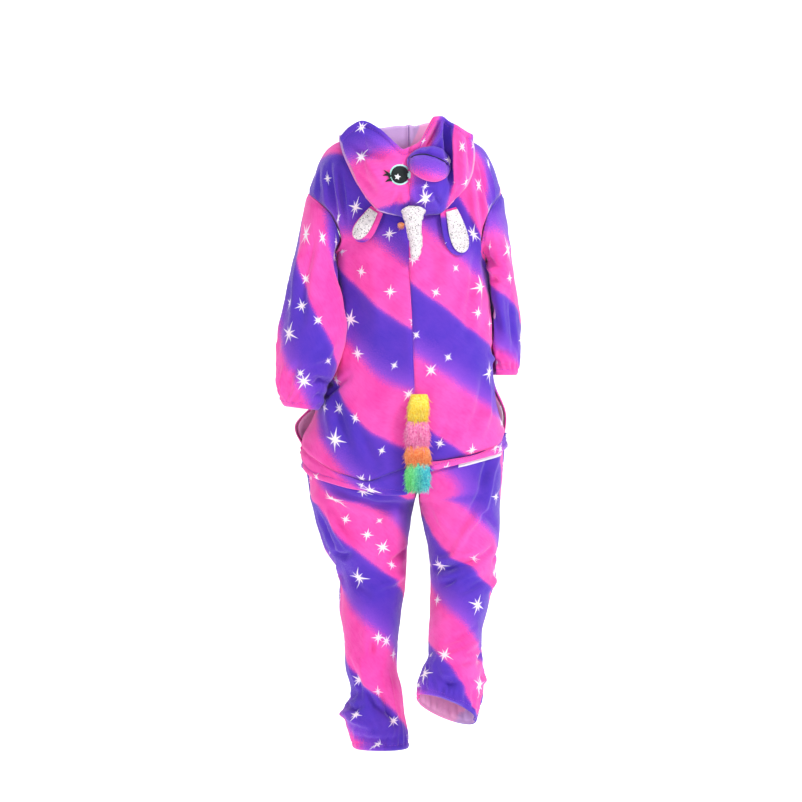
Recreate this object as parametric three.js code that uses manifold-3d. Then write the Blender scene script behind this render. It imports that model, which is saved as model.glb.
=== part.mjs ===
// Unicorn onesie in its worn form, hood thrown back, hands' place in the side pockets left empty.
// Millimetres, +Z up. The front faces -Y, the wearer's left is +X.
// The origin is the middle of the neck opening, at the height of the shoulders that hold it up.
import * as THREE from 'three';
import Module from 'manifold-3d';
import { mergeVertices } from 'three/addons/utils/BufferGeometryUtils.js';

// ---- driving dimensions ----
const CLOTH = 2.4;            // plush wall
const GAP = 0.3;              // between pieces that meet at a seam
const UNDERARM = -250;        // level where the armholes begin
const NECK_HALF = 84;         // half width of the neck opening
const NECK_BACK = 62;         // depth of the neckline behind the origin
const NECK_FRONT = 78;        // and in front of it
const NECK_NAPE_Z = -6;
const NECK_SIDE_Z = 20;
const NECK_THROAT_Z = -58;
const NECK_SHARE = 0.4;       // share of a panel's width that the neckline takes
const SHOULDER_DROP = 4.3;    // how late the shoulder falls away to its tip
const FLATNESS = 0.85;        // below 1, sections are fuller than an ellipse
const SHOULDER_GAP = 1.3;     // each side of the shoulder seam, where the walls turn steeply
const APRON = 6;              // how far the upper back hangs clear of the seat under it
const TUCK = 46;              // how far the seat reaches up under the upper back

// ---- small helpers ----
const rad = (degrees) => degrees * Math.PI / 180;
const mix = (a, b, t) => a + (b - a) * t;
const clamp = (x, low, high) => Math.min(high, Math.max(low, x));
const ease = (x, from, to) => {
  const t = clamp((x - from) / (to - from), 0, 1);
  return t * t * (3 - 2 * t);
};
const bump = (x, middle, reach) => {
  const t = clamp(1 - Math.abs(x - middle) / reach, 0, 1);
  return t * t * (3 - 2 * t);
};
const v3 = (x, y, z) => new THREE.Vector3(x, y, z);

// A table: one object per row, its first column is the key, always rising or always falling.
function table(columns, rows) {
  const names = columns.split(' ');
  return rows.map((row) => Object.fromEntries(names.map((name, i) => [name, row[i]])));
}

// The row of a table at any key, joined smoothly without overshoot.
function level(rows, key) {
  const names = Object.keys(rows[0]);
  const k = names[0];
  const turn = rows[rows.length - 1][k] > rows[0][k] ? 1 : -1;
  let i = rows.findIndex((row) => (row[k] - key) * turn > 0) - 1;
  if (i < -1 || i > rows.length - 2) i = rows.length - 2;
  i = Math.max(i, 0);
  const slope = (name, j) => (rows[j + 1][name] - rows[j][name]) / (rows[j + 1][k] - rows[j][k]);
  const tangent = (name, j) => {
    if (j === 0) return slope(name, 0);
    if (j === rows.length - 1) return slope(name, j - 1);
    const before = slope(name, j - 1);
    const after = slope(name, j);
    return before * after <= 0 ? 0 : 2 * before * after / (before + after);
  };
  const span = rows[i + 1][k] - rows[i][k];
  const t = clamp((key - rows[i][k]) / span, 0, 1);
  const found = {};
  for (const name of names) {
    const a = (2 * t ** 3 - 3 * t ** 2 + 1) * rows[i][name];
    const b = (t ** 3 - 2 * t ** 2 + t) * span * tangent(name, i);
    const c = (3 * t ** 2 - 2 * t ** 3) * rows[i + 1][name];
    const d = (t ** 3 - t ** 2) * span * tangent(name, i + 1);
    found[name] = a + b + c + d;
  }
  return found;
}

// ---- the pieces' shared way of becoming solids ----
const onesie = new THREE.Group();
const PINK = 0xf0379f;
const PURPLE = 0x5a3ec8;
const WHITE = 0xf2eef4;
const GLITTER = 0xe9e6ea;

function addMesh(name, geometry, color, roughness = 0.95, metalness = 0) {
  const mesh = new THREE.Mesh(geometry, new THREE.MeshStandardMaterial({ color, roughness, metalness }));
  mesh.name = name;
  onesie.add(mesh);
  return mesh;
}

// Points and triangles made one body whose faces point out.
function body(points, triangles) {
  let volume = 0;
  for (const [a, b, c] of triangles) {
    volume += points[a].dot(points[b].clone().cross(points[c]));
  }
  const index = triangles.flatMap(([a, b, c]) => (volume > 0 ? [a, b, c] : [a, c, b]));
  const geometry = new THREE.BufferGeometry().setFromPoints(points);
  geometry.setIndex(index);
  geometry.computeVertexNormals();
  return geometry;
}

// The unit normal of a surface point(u, v), from short steps that stay on the surface.
function normalAt(point, u, v) {
  const step = 1e-4;
  const u0 = Math.max(0, u - step);
  const u1 = Math.min(1, u + step);
  const v0 = Math.max(0, v - step);
  const v1 = Math.min(1, v + step);
  const across = point(u1, v).sub(point(u0, v));
  const along = point(u, v1).sub(point(u, v0));
  return across.cross(along).normalize();
}

// A cloth wall on a surface point(u, v), 0 to 1 each way. It thickens towards the side that
// inward (1 or -1 times the surface's normal) names. With around, u runs round a closed tube.
function wall(point, { across, along, inward, thickness = CLOTH, around = false }) {
  const columns = around ? across : across + 1;
  const points = [];
  for (const layer of [0, 1]) {
    for (let j = 0; j <= along; j += 1) {
      for (let i = 0; i < columns; i += 1) {
        const u = i / across;
        const v = j / along;
        const outer = point(u, v);
        const offset = layer * thickness * inward;
        points.push(outer.addScaledVector(normalAt(point, u, v), offset));
      }
    }
  }
  const at = (layer, i, j) => (layer * (along + 1) + j) * columns + (i % columns);
  const triangles = [];
  const quad = (a, b, c, d) => triangles.push([a, b, c], [a, c, d]);
  for (let j = 0; j < along; j += 1) {
    for (let i = 0; i < across; i += 1) {
      quad(at(0, i, j), at(0, i + 1, j), at(0, i + 1, j + 1), at(0, i, j + 1));
      quad(at(1, i, j), at(1, i, j + 1), at(1, i + 1, j + 1), at(1, i + 1, j));
    }
  }
  for (let i = 0; i < across; i += 1) {
    quad(at(0, i + 1, 0), at(0, i, 0), at(1, i, 0), at(1, i + 1, 0));
    quad(at(0, i, along), at(0, i + 1, along), at(1, i + 1, along), at(1, i, along));
  }
  if (!around) {
    for (let j = 0; j < along; j += 1) {
      quad(at(0, 0, j), at(0, 0, j + 1), at(1, 0, j + 1), at(1, 0, j));
      quad(at(0, across, j + 1), at(0, across, j), at(1, across, j), at(1, across, j + 1));
    }
  }
  return body(points, triangles);
}

// A stuffed solid: rings of points, closed by a point at each end.
function stuffed(ring, first, last, sides, rings) {
  const points = [first];
  for (let j = 0; j < rings; j += 1) {
    for (let i = 0; i < sides; i += 1) points.push(ring(i / sides, j / (rings - 1)));
  }
  points.push(last);
  const end = points.length - 1;
  const at = (i, j) => 1 + j * sides + (i % sides);
  const triangles = [];
  for (let i = 0; i < sides; i += 1) {
    triangles.push([0, at(i + 1, 0), at(i, 0)]);
    triangles.push([end, at(i, rings - 1), at(i + 1, rings - 1)]);
    for (let j = 0; j < rings - 1; j += 1) {
      triangles.push([at(i, j), at(i + 1, j), at(i + 1, j + 1)]);
      triangles.push([at(i, j), at(i + 1, j + 1), at(i, j + 1)]);
    }
  }
  return body(points, triangles);
}

// ---- trunk and legs ----
// One row per level from the underarm to the hem. outer: the side seam. inner: the centre line,
// or the inseam below the fork. back, front: depth. side: where the side seam lies, front to back.
// fork: degrees that the row has closed round its leg. lift, roll: slope of the row to the back
// and to the left.
const ROW = 'z outer inner back front side fork lift roll';
const LEFT = {
  sign: 1,
  rows: table(ROW, [
    [-250, 160, -8, 118, -112, -8, 0, 0, 0],
    [-330, 152, -12, 121, -118, -14, 0, 0, 0],
    [-440, 158, -16, 124, -122, -18, 0, 0, 0],
    [-535, 182, -20, 129, -124, -17, 0, 0, 0],
    [-570, 195, -22, 132, -124, -15, 0, 0, 0],
    [-604, 208, -23, 135, -124, -12, 0, 0, 0],
    [-638, 220, -24, 138, -123, -10, 0, 0, 0],
    [-670, 223, -25, 140, -121, -10, 0, 0, 0],
    [-700, 218, -26, 140, -118, -10, 10, 0, 0],
    [-740, 213, -27, 134, -114, -10, 38, 0, 0],
    [-765, 210, -27, 128, -110, -10, 66, 0, 0],
    [-778, 206, -20, 122, -106, -10, 90, 0, 0],
    [-836, 191, -9, 104, -98, -14, 90, 0, 0],
    [-880, 174, -4, 92, -94, -18, 90, 0, 0],
    [-946, 140, -2, 74, -92, -22, 90, 0, 0],
    [-1012, 139, 7, 72, -90, -20, 90, 0, 0],
    [-1078, 134, 15, 74, -82, -14, 90, 0, 0],
    [-1144, 130, 18, 72, -72, -8, 90, 0, 0],
    [-1190, 120, 8, 66, -66, -4, 90, 0, 0],
    [-1240, 136, 2, 72, -70, 0, 90, 0, 0],
    [-1290, 122, -6, 64, -66, 0, 90, 0, 0],
    [-1318, 112, -6, 56, -60, 0, 90, 0, 0],
  ]),
};
const RIGHT = {
  sign: -1,
  rows: table(ROW, [
    [-250, -176, -8, 118, -112, -2, 0, 0, 0],
    [-330, -184, -12, 121, -118, 4, 0, 0, 0],
    [-440, -190, -16, 124, -122, 8, 0, 0, 0],
    [-505, -194, -19, 127, -124, 8, 0, 0, 0],
    [-542, -198, -21, 130, -124, 6, 0, 0, 0],
    [-580, -204, -22, 133, -124, 3, 0, 0, 0],
    [-620, -212, -24, 137, -124, 0, 0, 0, 0],
    [-660, -218, -25, 140, -122, -3, 0, 0, 0],
    [-700, -215, -26, 141, -116, -2, 10, 0, 0],
    [-740, -211, -27, 138, -108, 2, 38, 0, 0],
    [-765, -209, -28, 134, -100, 6, 66, 0, 0],
    [-778, -208, -31, 130, -96, 8, 90, 0, 0],
    [-836, -207, -42, 122, -84, 14, 90, 0.03, 0],
    [-880, -202, -51, 120, -72, 20, 90, 0.06, 0],
    [-940, -194, -57, 122, -52, 32, 90, 0.12, 0],
    [-1000, -181, -55, 142, -24, 54, 90, 0.22, 0.04],
    [-1060, -166, -52, 170, 6, 84, 90, 0.34, 0.1],
    [-1110, -166, -52, 190, 34, 110, 90, 0.42, 0.2],
    [-1150, -168, -36, 206, 54, 130, 90, 0.46, 0.28],
    [-1190, -158, -28, 206, 78, 144, 90, 0.5, 0.36],
    [-1212, -152, -26, 204, 88, 150, 90, 0.5, 0.38],
  ]),
};
const BACK = 1;
const FRONT = -1;

// A point of one panel of the trunk or leg: u runs from the centre line or inseam to the side.
function trunkPoint(half, face, u, z, inset = 0) {
  const row = level(half.rows, z);
  const closed = rad(row.fork);
  const reach = (row.outer - row.inner) / (1 + Math.sin(closed));
  const middle = row.inner + reach * Math.sin(closed);
  const angle = mix(-closed, Math.PI / 2, u);
  const depth = (face === BACK ? row.back : row.front) - row.side - face * inset;
  const x = middle + (reach - half.sign * inset) * Math.sin(angle) + half.sign * GAP / 2;
  const y = row.side + face * GAP + depth * Math.max(0, Math.cos(angle)) ** FLATNESS;
  return v3(x, y, z + row.lift * (y - row.side) + row.roll * (x - middle));
}

// ---- yoke: from the underarm level over the shoulder blades to the shoulder line ----
// The armhole edge of each panel, from the underarm (0) to the shoulder tip (1).
const ARMHOLE = {
  left: {
    [BACK]: table('t x y z', [
      [0, 160, -7.8, -250], [0.15, 156, 38, -240], [0.3, 140, 76, -204], [0.5, 156, 82, -154],
      [0.7, 188, 62, -121], [0.88, 207, 28, -105], [1, 214, SHOULDER_GAP, -99],
    ]),
    [FRONT]: table('t x y z', [
      [0, 160, -8.2, -250], [0.15, 150, -48, -234], [0.3, 144, -74, -200], [0.5, 160, -76, -156],
      [0.7, 188, -54, -124], [0.88, 207, -24, -106], [1, 214, -SHOULDER_GAP, -99],
    ]),
  },
  right: {
    [BACK]: table('t x y z', [
      [0, -176, -1.8, -250], [0.15, -172, 40, -236], [0.3, -166, 68, -204], [0.5, -176, 74, -158],
      [0.7, -194, 56, -124], [0.88, -208, 26, -106], [1, -213, SHOULDER_GAP, -99],
    ]),
    [FRONT]: table('t x y z', [
      [0, -176, -2.2, -250], [0.15, -164, -46, -234], [0.3, -158, -72, -200], [0.5, -170, -74, -156],
      [0.7, -192, -54, -124], [0.88, -208, -24, -106], [1, -213, -SHOULDER_GAP, -99],
    ]),
  },
};
const ARMHOLE_SCOOP = 0.3;    // share of the panel's width that the armhole cuts away at its deepest
const armhole = (half, face) => (half.sign > 0 ? ARMHOLE.left : ARMHOLE.right)[face];

// The panel's top edge: the neckline, then the shoulder line out to its tip.
function topEdge(half, face, u) {
  const { sign } = half;
  const start = face === BACK ? NECK_NAPE_Z : NECK_THROAT_Z;
  const depth = face === BACK ? NECK_BACK : -NECK_FRONT;
  const tip = level(armhole(half, face), 1);
  if (u < NECK_SHARE) {
    const turn = (u / NECK_SHARE) * Math.PI / 2;
    const x = sign * (GAP / 2 + NECK_HALF * Math.sin(turn));
    return v3(x, face * GAP / 2 + depth * Math.cos(turn), mix(start, NECK_SIDE_Z, Math.sin(turn) ** 2));
  }
  const out = (u - NECK_SHARE) / (1 - NECK_SHARE);
  return v3(
    mix(sign * (NECK_HALF + GAP / 2), tip.x, out),
    face * mix(GAP / 2, SHOULDER_GAP, ease(out, 0, 0.1)),
    mix(NECK_SIDE_Z, tip.z, out ** SHOULDER_DROP),
  );
}

function yokePoint(half, face, u, t) {
  const dome = (share) => {
    const low = trunkPoint(half, face, share, UNDERARM);
    const top = topEdge(half, face, share);
    const turn = t * Math.PI / 2;
    return v3(
      mix(low.x, top.x, 1 - Math.cos(turn)),
      top.y + (low.y - top.y) * Math.cos(turn),
      mix(low.z, top.z, Math.sin(turn)),
    );
  };
  const edge = level(armhole(half, face), t);
  const reach = 1 - ARMHOLE_SCOOP * bump(t, 0.3, 0.3);
  const pull = v3(edge.x, edge.y, edge.z).sub(dome(reach));
  return dome(u * reach).addScaledVector(pull, u);
}

// The back of the worn trunk at any x and z, for what lies on it.
function backSurface(x, z) {
  const half = x > level(LEFT.rows, Math.min(z, UNDERARM)).inner ? LEFT : RIGHT;
  if (z <= UNDERARM) {
    const row = level(half.rows, z);
    const across = clamp((x - row.inner) / (row.outer - row.inner), 0, 0.999);
    return row.side + (row.back - row.side) * Math.cos(Math.asin(across)) ** FLATNESS;
  }
  let u = 0.5;
  let t = 0.5;
  const step = 1e-3;
  for (let round = 0; round < 30; round += 1) {
    const here = yokePoint(half, BACK, u, t);
    const du = yokePoint(half, BACK, u + (u > 0.5 ? -step : step), t).sub(here).divideScalar(u > 0.5 ? -step : step);
    const dt = yokePoint(half, BACK, u, t + (t > 0.5 ? -step : step)).sub(here).divideScalar(t > 0.5 ? -step : step);
    const area = du.x * dt.z - du.z * dt.x;
    const ex = x - here.x;
    const ez = z - here.z;
    u = clamp(u + 0.7 * (ex * dt.z - ez * dt.x) / area, 0, 1);
    t = clamp(t + 0.7 * (du.x * ez - du.z * ex) / area, 0, 1);
  }
  return yokePoint(half, BACK, u, t).y;
}

// ---- long fronts: shoulder to ankle, with the mouth of the side pocket standing open ----
// The front edge of the mouth bows out by gape, about its middle level.
const POCKETS = {
  left: { half: LEFT, middle: -604, tall: 66, gape: 36, forward: -10, bagDeep: 150 },
  right: { half: RIGHT, middle: -580, tall: 78, gape: 20, forward: -8, bagDeep: 150 },
};
const pocketOf = (half) => (half.sign > 0 ? POCKETS.left : POCKETS.right);

function frontPoint(half, u, z, inset = 0) {
  const pocket = pocketOf(half);
  const point = trunkPoint(half, FRONT, u, z, inset);
  const open = bump(z, pocket.middle, pocket.tall) * u ** 5;
  point.x += half.sign * pocket.gape * open;
  point.y += pocket.forward * open;
  return point;
}

// Levels from the hem (0) to the underarm (1): each row of the table takes an equal share.
function rowLevel(half, share) {
  const { rows } = half;
  const place = (1 - share) * (rows.length - 1);
  const i = Math.min(Math.floor(place), rows.length - 2);
  return mix(rows[i].z, rows[i + 1].z, place - i);
}
const STEPS = 1;              // wall steps from one row of the table to the next
const YOKE_STEPS = 8;
const BACK_STEPS = 9;

for (const half of [LEFT, RIGHT]) {
  const name = half.sign > 0 ? 'left' : 'right';
  const legSteps = STEPS * (half.rows.length - 1);
  const share = YOKE_STEPS / (legSteps + YOKE_STEPS);
  const panel = (u, v) => {
    if (v > 1 - share) return yokePoint(half, FRONT, u, (v - 1 + share) / share);
    return frontPoint(half, u, rowLevel(half, v / (1 - share)));
  };
  const geometry = wall(panel, { across: 6, along: legSteps + YOKE_STEPS, inward: -half.sign });
  addMesh(`front_${name}`, geometry, half.sign > 0 ? PINK : PURPLE);
}

// ---- upper backs: neck to the seam of the band that hangs over the seat ----
// seam: where the band is sewn on. hem: its free lower edge.
const BAND = table('x seam hem', [
  [-224, -622, -652], [-207, -645, -664], [-178, -657, -671], [-132, -669, -682],
  [-77, -677, -694], [-50, -680, -704], [-27, -684, -724], [0, -694, -752], [44, -711, -754],
  [80, -722, -747], [125, -711, -739], [158, -701, -730], [207, -672, -716], [226, -655, -700],
]);
const FREE_FROM = -690;       // below this level the upper back hangs straight

// The back of the seat or leg at x, as far as it is closed round the thigh.
function seatBack(half, x, z) {
  const row = level(half.rows, z);
  const closed = rad(row.fork);
  const reach = (row.outer - row.inner) / (1 + Math.sin(closed));
  const across = clamp((x - row.inner) / reach - Math.sin(closed), -0.999, 0.999);
  return row.side + (row.back - row.side) * Math.cos(Math.asin(across)) ** FLATNESS;
}

function backPoint(half, u, z) {
  const free = level(half.rows, Math.max(z, FREE_FROM));
  const angle = u * Math.PI / 2;
  const edge = level(BAND, free.outer).seam;
  const out = APRON * ease(z, edge + 2 * TUCK, edge + TUCK / 2);
  const x = free.inner + (free.outer - free.inner + half.sign * out) * Math.sin(angle) + half.sign * GAP / 2;
  const y = free.side + GAP / 2 + (free.back + out - free.side) * Math.cos(angle) ** FLATNESS;
  return v3(x, Math.max(y, seatBack(half, x, z) + out), z);
}

for (const half of [LEFT, RIGHT]) {
  const name = half.sign > 0 ? 'left' : 'right';
  const yoke = YOKE_STEPS / (YOKE_STEPS + BACK_STEPS);
  const panel = (u, v) => {
    if (v > 1 - yoke) return yokePoint(half, BACK, u, (v - 1 + yoke) / yoke);
    const seam = level(BAND, backPoint(half, u, FREE_FROM).x).seam + GAP;
    return backPoint(half, u, mix(seam, UNDERARM, v / (1 - yoke)));
  };
  const geometry = wall(panel, { across: 8, along: YOKE_STEPS + BACK_STEPS, inward: half.sign });
  addMesh(`back_${name}`, geometry, half.sign > 0 ? PURPLE : PINK);
  const band = (u, v) => {
    const { seam, hem } = level(BAND, backPoint(half, u, FREE_FROM).x);
    const point = backPoint(half, u, mix(hem, seam - 2 * GAP, v));
    point.y += 3 * Math.sin(v * Math.PI) * Math.cos(u * Math.PI / 2);
    return point;
  };
  addMesh(`band_${name}`, wall(band, { across: 8, along: 3, inward: half.sign }), PINK);
}

// ---- seats: from under the band down the back of each leg ----
const SEAT_INSET = 4.5;
const THIGH = -836;           // below this level the seat's rows are those of the fronts
for (const half of [LEFT, RIGHT]) {
  const name = half.sign > 0 ? 'left' : 'right';
  const thighRow = half.rows.findIndex((row) => row.z === THIGH);
  const legSteps = STEPS * (half.rows.length - 1 - thighRow);
  const seatSteps = 8;
  const leg = legSteps / (legSteps + seatSteps);
  const panel = (u, v) => {
    if (v < leg) return trunkPoint(half, BACK, u, rowLevel(half, (v * (legSteps + seatSteps)) / (STEPS * (half.rows.length - 1))));
    const x = mix(-26, half.sign * 216, u);
    const top = level(BAND, x).hem + TUCK;
    const z = mix(THIGH, top, (v - leg) / (1 - leg));
    return trunkPoint(half, BACK, u, z, SEAT_INSET * ease(z, top - 2.4 * TUCK, top - 1.4 * TUCK));
  };
  const geometry = wall(panel, { across: 8, along: legSteps + seatSteps, inward: half.sign });
  addMesh(`seat_${name}`, geometry, half.sign > 0 ? PINK : PURPLE);
}

// ---- sleeves: dropped armhole to gathered cuff ----
// A row per ring: centre x and y, half width, half depth, slope to the wearer's side.
const SLEEVES = {
  left: {
    half: LEFT,
    rings: table('z x y wide deep slope', [
      [-200, 184, 6, 42, 88, 0.8],
      [-260, 190, 26, 54, 86, 0.4],
      [-330, 191, 52, 67, 78, 0.1],
      [-420, 200, 62, 73, 74, 0],
      [-500, 216, 50, 66, 66, 0],
      [-545, 224, 42, 52, 54, 0.08],
      [-568, 226, 38, 38, 42, 0.12],
    ]),
  },
  right: {
    half: RIGHT,
    rings: table('z x y wide deep slope', [
      [-200, -198, -2, 26, 84, -0.8],
      [-255, -206, -18, 30, 80, -0.4],
      [-310, -206, -34, 40, 76, -0.1],
      [-380, -204, -44, 50, 70, 0],
      [-440, -204, -44, 52, 62, 0],
      [-478, -204, -42, 48, 50, 0],
      [-497, -208, -40, 38, 42, 0],
    ]),
  },
};
const SLEEVE_CLEAR = 8;       // between a sleeve and the trunk that it lies against
const YOKE_SWELL = 8;         // how far the yoke stands outside the underarm's section
const CAP_SHARE = 0.2;        // share of the sleeve's length that leaves the armhole's shape

// Moves a point outwards until it clears the trunk's section by the given gap.
function clearOfTrunk(half, point, gap) {
  const row = level(half.rows, Math.min(point.z, UNDERARM));
  const reach = row.outer - row.inner + half.sign * gap;
  const depth = (point.y > row.side ? row.back - row.side : row.side - row.front) + gap;
  const dx = (point.x - row.inner) / reach;
  const dy = Math.abs(point.y - row.side) / depth;
  const fullness = (k) => (k * Math.max(dx, 0)) ** 2 + (k * dy) ** (2 / FLATNESS);
  if (fullness(1) >= 1) return point;
  let low = 1;
  let high = 20;
  for (let round = 0; round < 30; round += 1) {
    const middle = (low + high) / 2;
    if (fullness(middle) < 1) low = middle;
    else high = middle;
  }
  return v3(row.inner + (point.x - row.inner) * low, row.side + (point.y - row.side) * low, point.z);
}

function armholePoint(half, u) {
  const face = u < 0.5 ? BACK : FRONT;
  const edge = level(armhole(half, face), u < 0.5 ? 2 * u : 2 - 2 * u);
  return v3(edge.x, edge.y, edge.z);
}

function sleevePoint(sleeve, u, v) {
  const { half, rings } = sleeve;
  const turn = u * 2 * Math.PI;
  const first = rings[0].z;
  const last = rings[rings.length - 1].z;
  const row = level(rings, mix(first, last, v));
  const x = row.x - half.sign * row.wide * Math.cos(turn);
  const y = row.y + row.deep * Math.sin(turn);
  const ring = v3(x, y, row.z + row.slope * (x - row.x));
  const away = v3(half.sign * (1.4 + 2.8 * bump(u, 0, 0.4) + 3.2 * bump(u, 1, 0.4)), 0, -1.2);
  const start = armholePoint(half, u % 1).add(away);
  const blend = 1 - (1 - clamp(v / CAP_SHARE, 0, 1)) ** 2;
  const point = start.lerp(ring, blend);
  const gap = SLEEVE_CLEAR + YOKE_SWELL * ease(point.z, UNDERARM, UNDERARM + 45);
  return clearOfTrunk(half, point, gap * ease(v, -0.1, 0.25));
}

for (const [name, sleeve] of Object.entries(SLEEVES)) {
  const geometry = wall((u, v) => sleevePoint(sleeve, u, v), {
    across: 14, along: 13, inward: -sleeve.half.sign, around: true,
  });
  addMesh(`sleeve_${name}`, geometry, name === 'left' ? PINK : PURPLE);
}

// ---- hood: two halves, thrown back into a flat bag that hangs behind the neck ----
// For each side: the edge of the bag by height, from its fold at the bottom (0) to its rim (1).
const HOOD = {
  left: {
    half: LEFT,
    edge: table('height x', [[0, 60], [0.12, 88], [0.25, 104], [0.5, 121], [0.75, 134], [1, 142]]),
    rim: table('x z', [[-8, -8], [4, -12], [20, 0], [57, 33], [92, 49], [120, 36], [142, 15]]),
  },
  right: {
    half: RIGHT,
    edge: table('height x', [[0, -84], [0.12, -112], [0.25, -134], [0.5, -147], [0.75, -150], [1, -146]]),
    rim: table('x z', [[-146, 20], [-127, 29], [-95, 47], [-78, 58], [-62, 57], [-46, 32], [-28, 2], [-8, -8]]),
  },
};
const HOOD_SEAM_X = -8;
const HOOD_FOLD = table('x z', [[-150, -118], [-110, -132], [-62, -152], [0, -157], [45, -148], [100, -122]]);
const HOOD_NAPE = table('x z', [[-146, 14], [-100, 34], [-57, 46], [-20, 40], [10, 40], [60, 33], [100, 32], [142, 10]]);
const HOOD_GAP = 4;           // between the hood and the back that it lies on
const HOOD_BAG = 60;          // how far its two layers stand apart
const HOOD_PINCH = 8;         // and at the bag's side edges
const SHOULDER_Z = 22;        // height that the hood keeps where it crosses the shoulders
const NEAR_SHARE = 0.42;      // shares of the cloth from rim to fold, and from fold to nape
const FAR_SHARE = 0.42;

// What the hood lies on: the yoke, carried straight up above the shoulders.
const behindNeck = (x, z) => backSurface(x, Math.min(z, mix(-22, -60, clamp(Math.abs(x) / 140, 0, 1) ** 2)));

const bagDepth = (u, height) => (HOOD_PINCH + (HOOD_BAG - HOOD_PINCH) * Math.sqrt(Math.max(0, 1 - u * u)))
  * Math.sqrt(Math.sin(clamp(height / 0.4, 0, 1) * Math.PI / 2));

function hoodPoint(hood, u, v) {
  const { half } = hood;
  const near = v < NEAR_SHARE;
  const height = near ? 1 - v / NEAR_SHARE : Math.min(1, (v - NEAR_SHARE) / FAR_SHARE);
  const seam = HOOD_SEAM_X + half.sign * GAP / 2;
  const x = mix(seam, level(hood.edge, height).x, u);
  const z = mix(level(HOOD_FOLD, x).z, near ? level(hood.rim, x).z : level(HOOD_NAPE, x).z, height);
  const depth = near ? bagDepth(u, height) : 0;
  const far = v3(x, behindNeck(x, z) + HOOD_GAP + CLOTH + depth, z);
  if (v <= NEAR_SHARE + FAR_SHARE) return far;
  // from the nape's ridge over and down to just above the neckline, or the shoulder line beyond it
  const down = (v - NEAR_SHARE - FAR_SHARE) / (1 - NEAR_SHARE - FAR_SHARE);
  const neckX = clamp(Math.abs(x) / NECK_HALF, 0, 0.995);
  const neckY = NECK_BACK * Math.sqrt(1 - neckX ** 2) - 1;
  const neckZ = mix(NECK_NAPE_Z, NECK_SIDE_Z, neckX ** 2) + 4 + 6 * neckX;
  const beyond = clamp((Math.abs(x) - NECK_HALF) / 60, 0, 1);
  const shoulderZ = mix(neckZ, SHOULDER_Z, beyond);
  const neck = v3(x, neckY, Math.max(shoulderZ, far.z - 8));
  const over = Math.sin(down * Math.PI) * 5;
  return far.lerp(neck, down).add(v3(0, 0, over));
}

const wasm = await Module();
wasm.setup();
function solidOf(geometry) {
  const bare = geometry.clone();
  bare.deleteAttribute('normal');
  const merged = mergeVertices(bare, 1e-4);
  return new wasm.Manifold(new wasm.Mesh({
    numProp: 3,
    vertProperties: new Float32Array(merged.attributes.position.array),
    triVerts: new Uint32Array(merged.index.array),
  }));
}
function geometryOf(solid) {
  const { vertProperties, triVerts } = solid.getMesh();
  const geometry = new THREE.BufferGeometry();
  geometry.setAttribute('position', new THREE.BufferAttribute(new Float32Array(vertProperties), 3));
  geometry.setIndex(Array.from(triVerts));
  geometry.computeVertexNormals();
  return geometry;
}

// The hood's neck edge, sewn to the neckline from behind the shoulder round to the throat.
const NECK_BAND = table('turn tall lean', [[0, 30, 9], [0.3, 26, 12], [0.6, 34, 16], [0.85, 26, 10], [1, 14, 5]]);
const BAND_FROM = 0.16;       // it starts this share of the way round from the nape
function neckBandPoint(half, u, v) {
  const turn = mix(BAND_FROM, 1, u);
  const angle = turn * Math.PI;
  const depth = Math.cos(angle) > 0 ? NECK_BACK : NECK_FRONT;
  const low = Math.cos(angle) > 0 ? NECK_NAPE_Z : NECK_THROAT_Z;
  const { tall, lean } = level(NECK_BAND, turn);
  const grow = 1 + (v * lean - 2) / NECK_HALF;
  const x = half.sign * (GAP / 2 + NECK_HALF * grow * Math.sin(angle));
  const z = mix(low, NECK_SIDE_Z, Math.sin(angle) ** 2) + (Math.cos(angle) < 0 ? 9 : 5) + v * tall;
  return v3(x, depth * grow * Math.cos(angle), z);
}

for (const [name, hood] of Object.entries(HOOD)) {
  const { sign } = hood.half;
  const bag = wall((u, v) => hoodPoint(hood, u, v), { across: 7, along: 20, inward: -sign });
  const neck = wall((u, v) => neckBandPoint(hood.half, u, v), { across: 8, along: 2, inward: -sign });
  const joined = solidOf(bag).add(solidOf(neck));
  addMesh(`hood_${name}`, geometryOf(joined), name === 'left' ? PINK : PURPLE);
}

// The near layer of the hood at x and z, for what is sewn on it.
function hoodSurface(x, z) {
  const hood = x > HOOD_SEAM_X ? HOOD.left : HOOD.right;
  const low = level(HOOD_FOLD, x).z;
  const height = clamp((z - low) / (level(hood.rim, x).z - low), 0, 1);
  const u = clamp((x - HOOD_SEAM_X) / (level(hood.edge, height).x - HOOD_SEAM_X), 0, 0.98);
  return behindNeck(x, z) + HOOD_GAP + CLOTH + bagDepth(u, height);
}

// ---- pads: closed solids on a surface(x, z), standing out behind it ----
// outline(turn) gives the reach in x and z from the middle; swell shapes the outer face.
function pad({ x, z, outline, surface, lift = 0.5, depth, swell = 0.5, sides = 20, rings = 4 }) {
  const place = (turn, share, out) => {
    const [dx, dz] = outline(turn * 2 * Math.PI);
    const px = x + dx * share;
    const pz = z + dz * share;
    const rise = out ? depth * Math.max(0, 1 - share ** 2) ** swell : 0;
    return v3(px, surface(px, pz) + lift + rise, pz);
  };
  const edge = 0.6;           // thickness left at the rim
  const ring = (turn, v) => {
    const j = Math.round(v * (2 * rings - 1));
    if (j < rings) return place(turn, (j + 1) / rings, false);
    const point = place(turn, (2 * rings - j) / rings, true);
    point.y += edge;
    return point;
  };
  return stuffed(ring, place(0, 0, false), place(0, 0, true), sides, 2 * rings);
}
const turned = (wide, tall, tilt) => (angle) => {
  const a = wide * Math.cos(angle);
  const b = tall * Math.sin(angle);
  return [a * Math.cos(tilt) - b * Math.sin(tilt), a * Math.sin(tilt) + b * Math.cos(tilt)];
};

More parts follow.
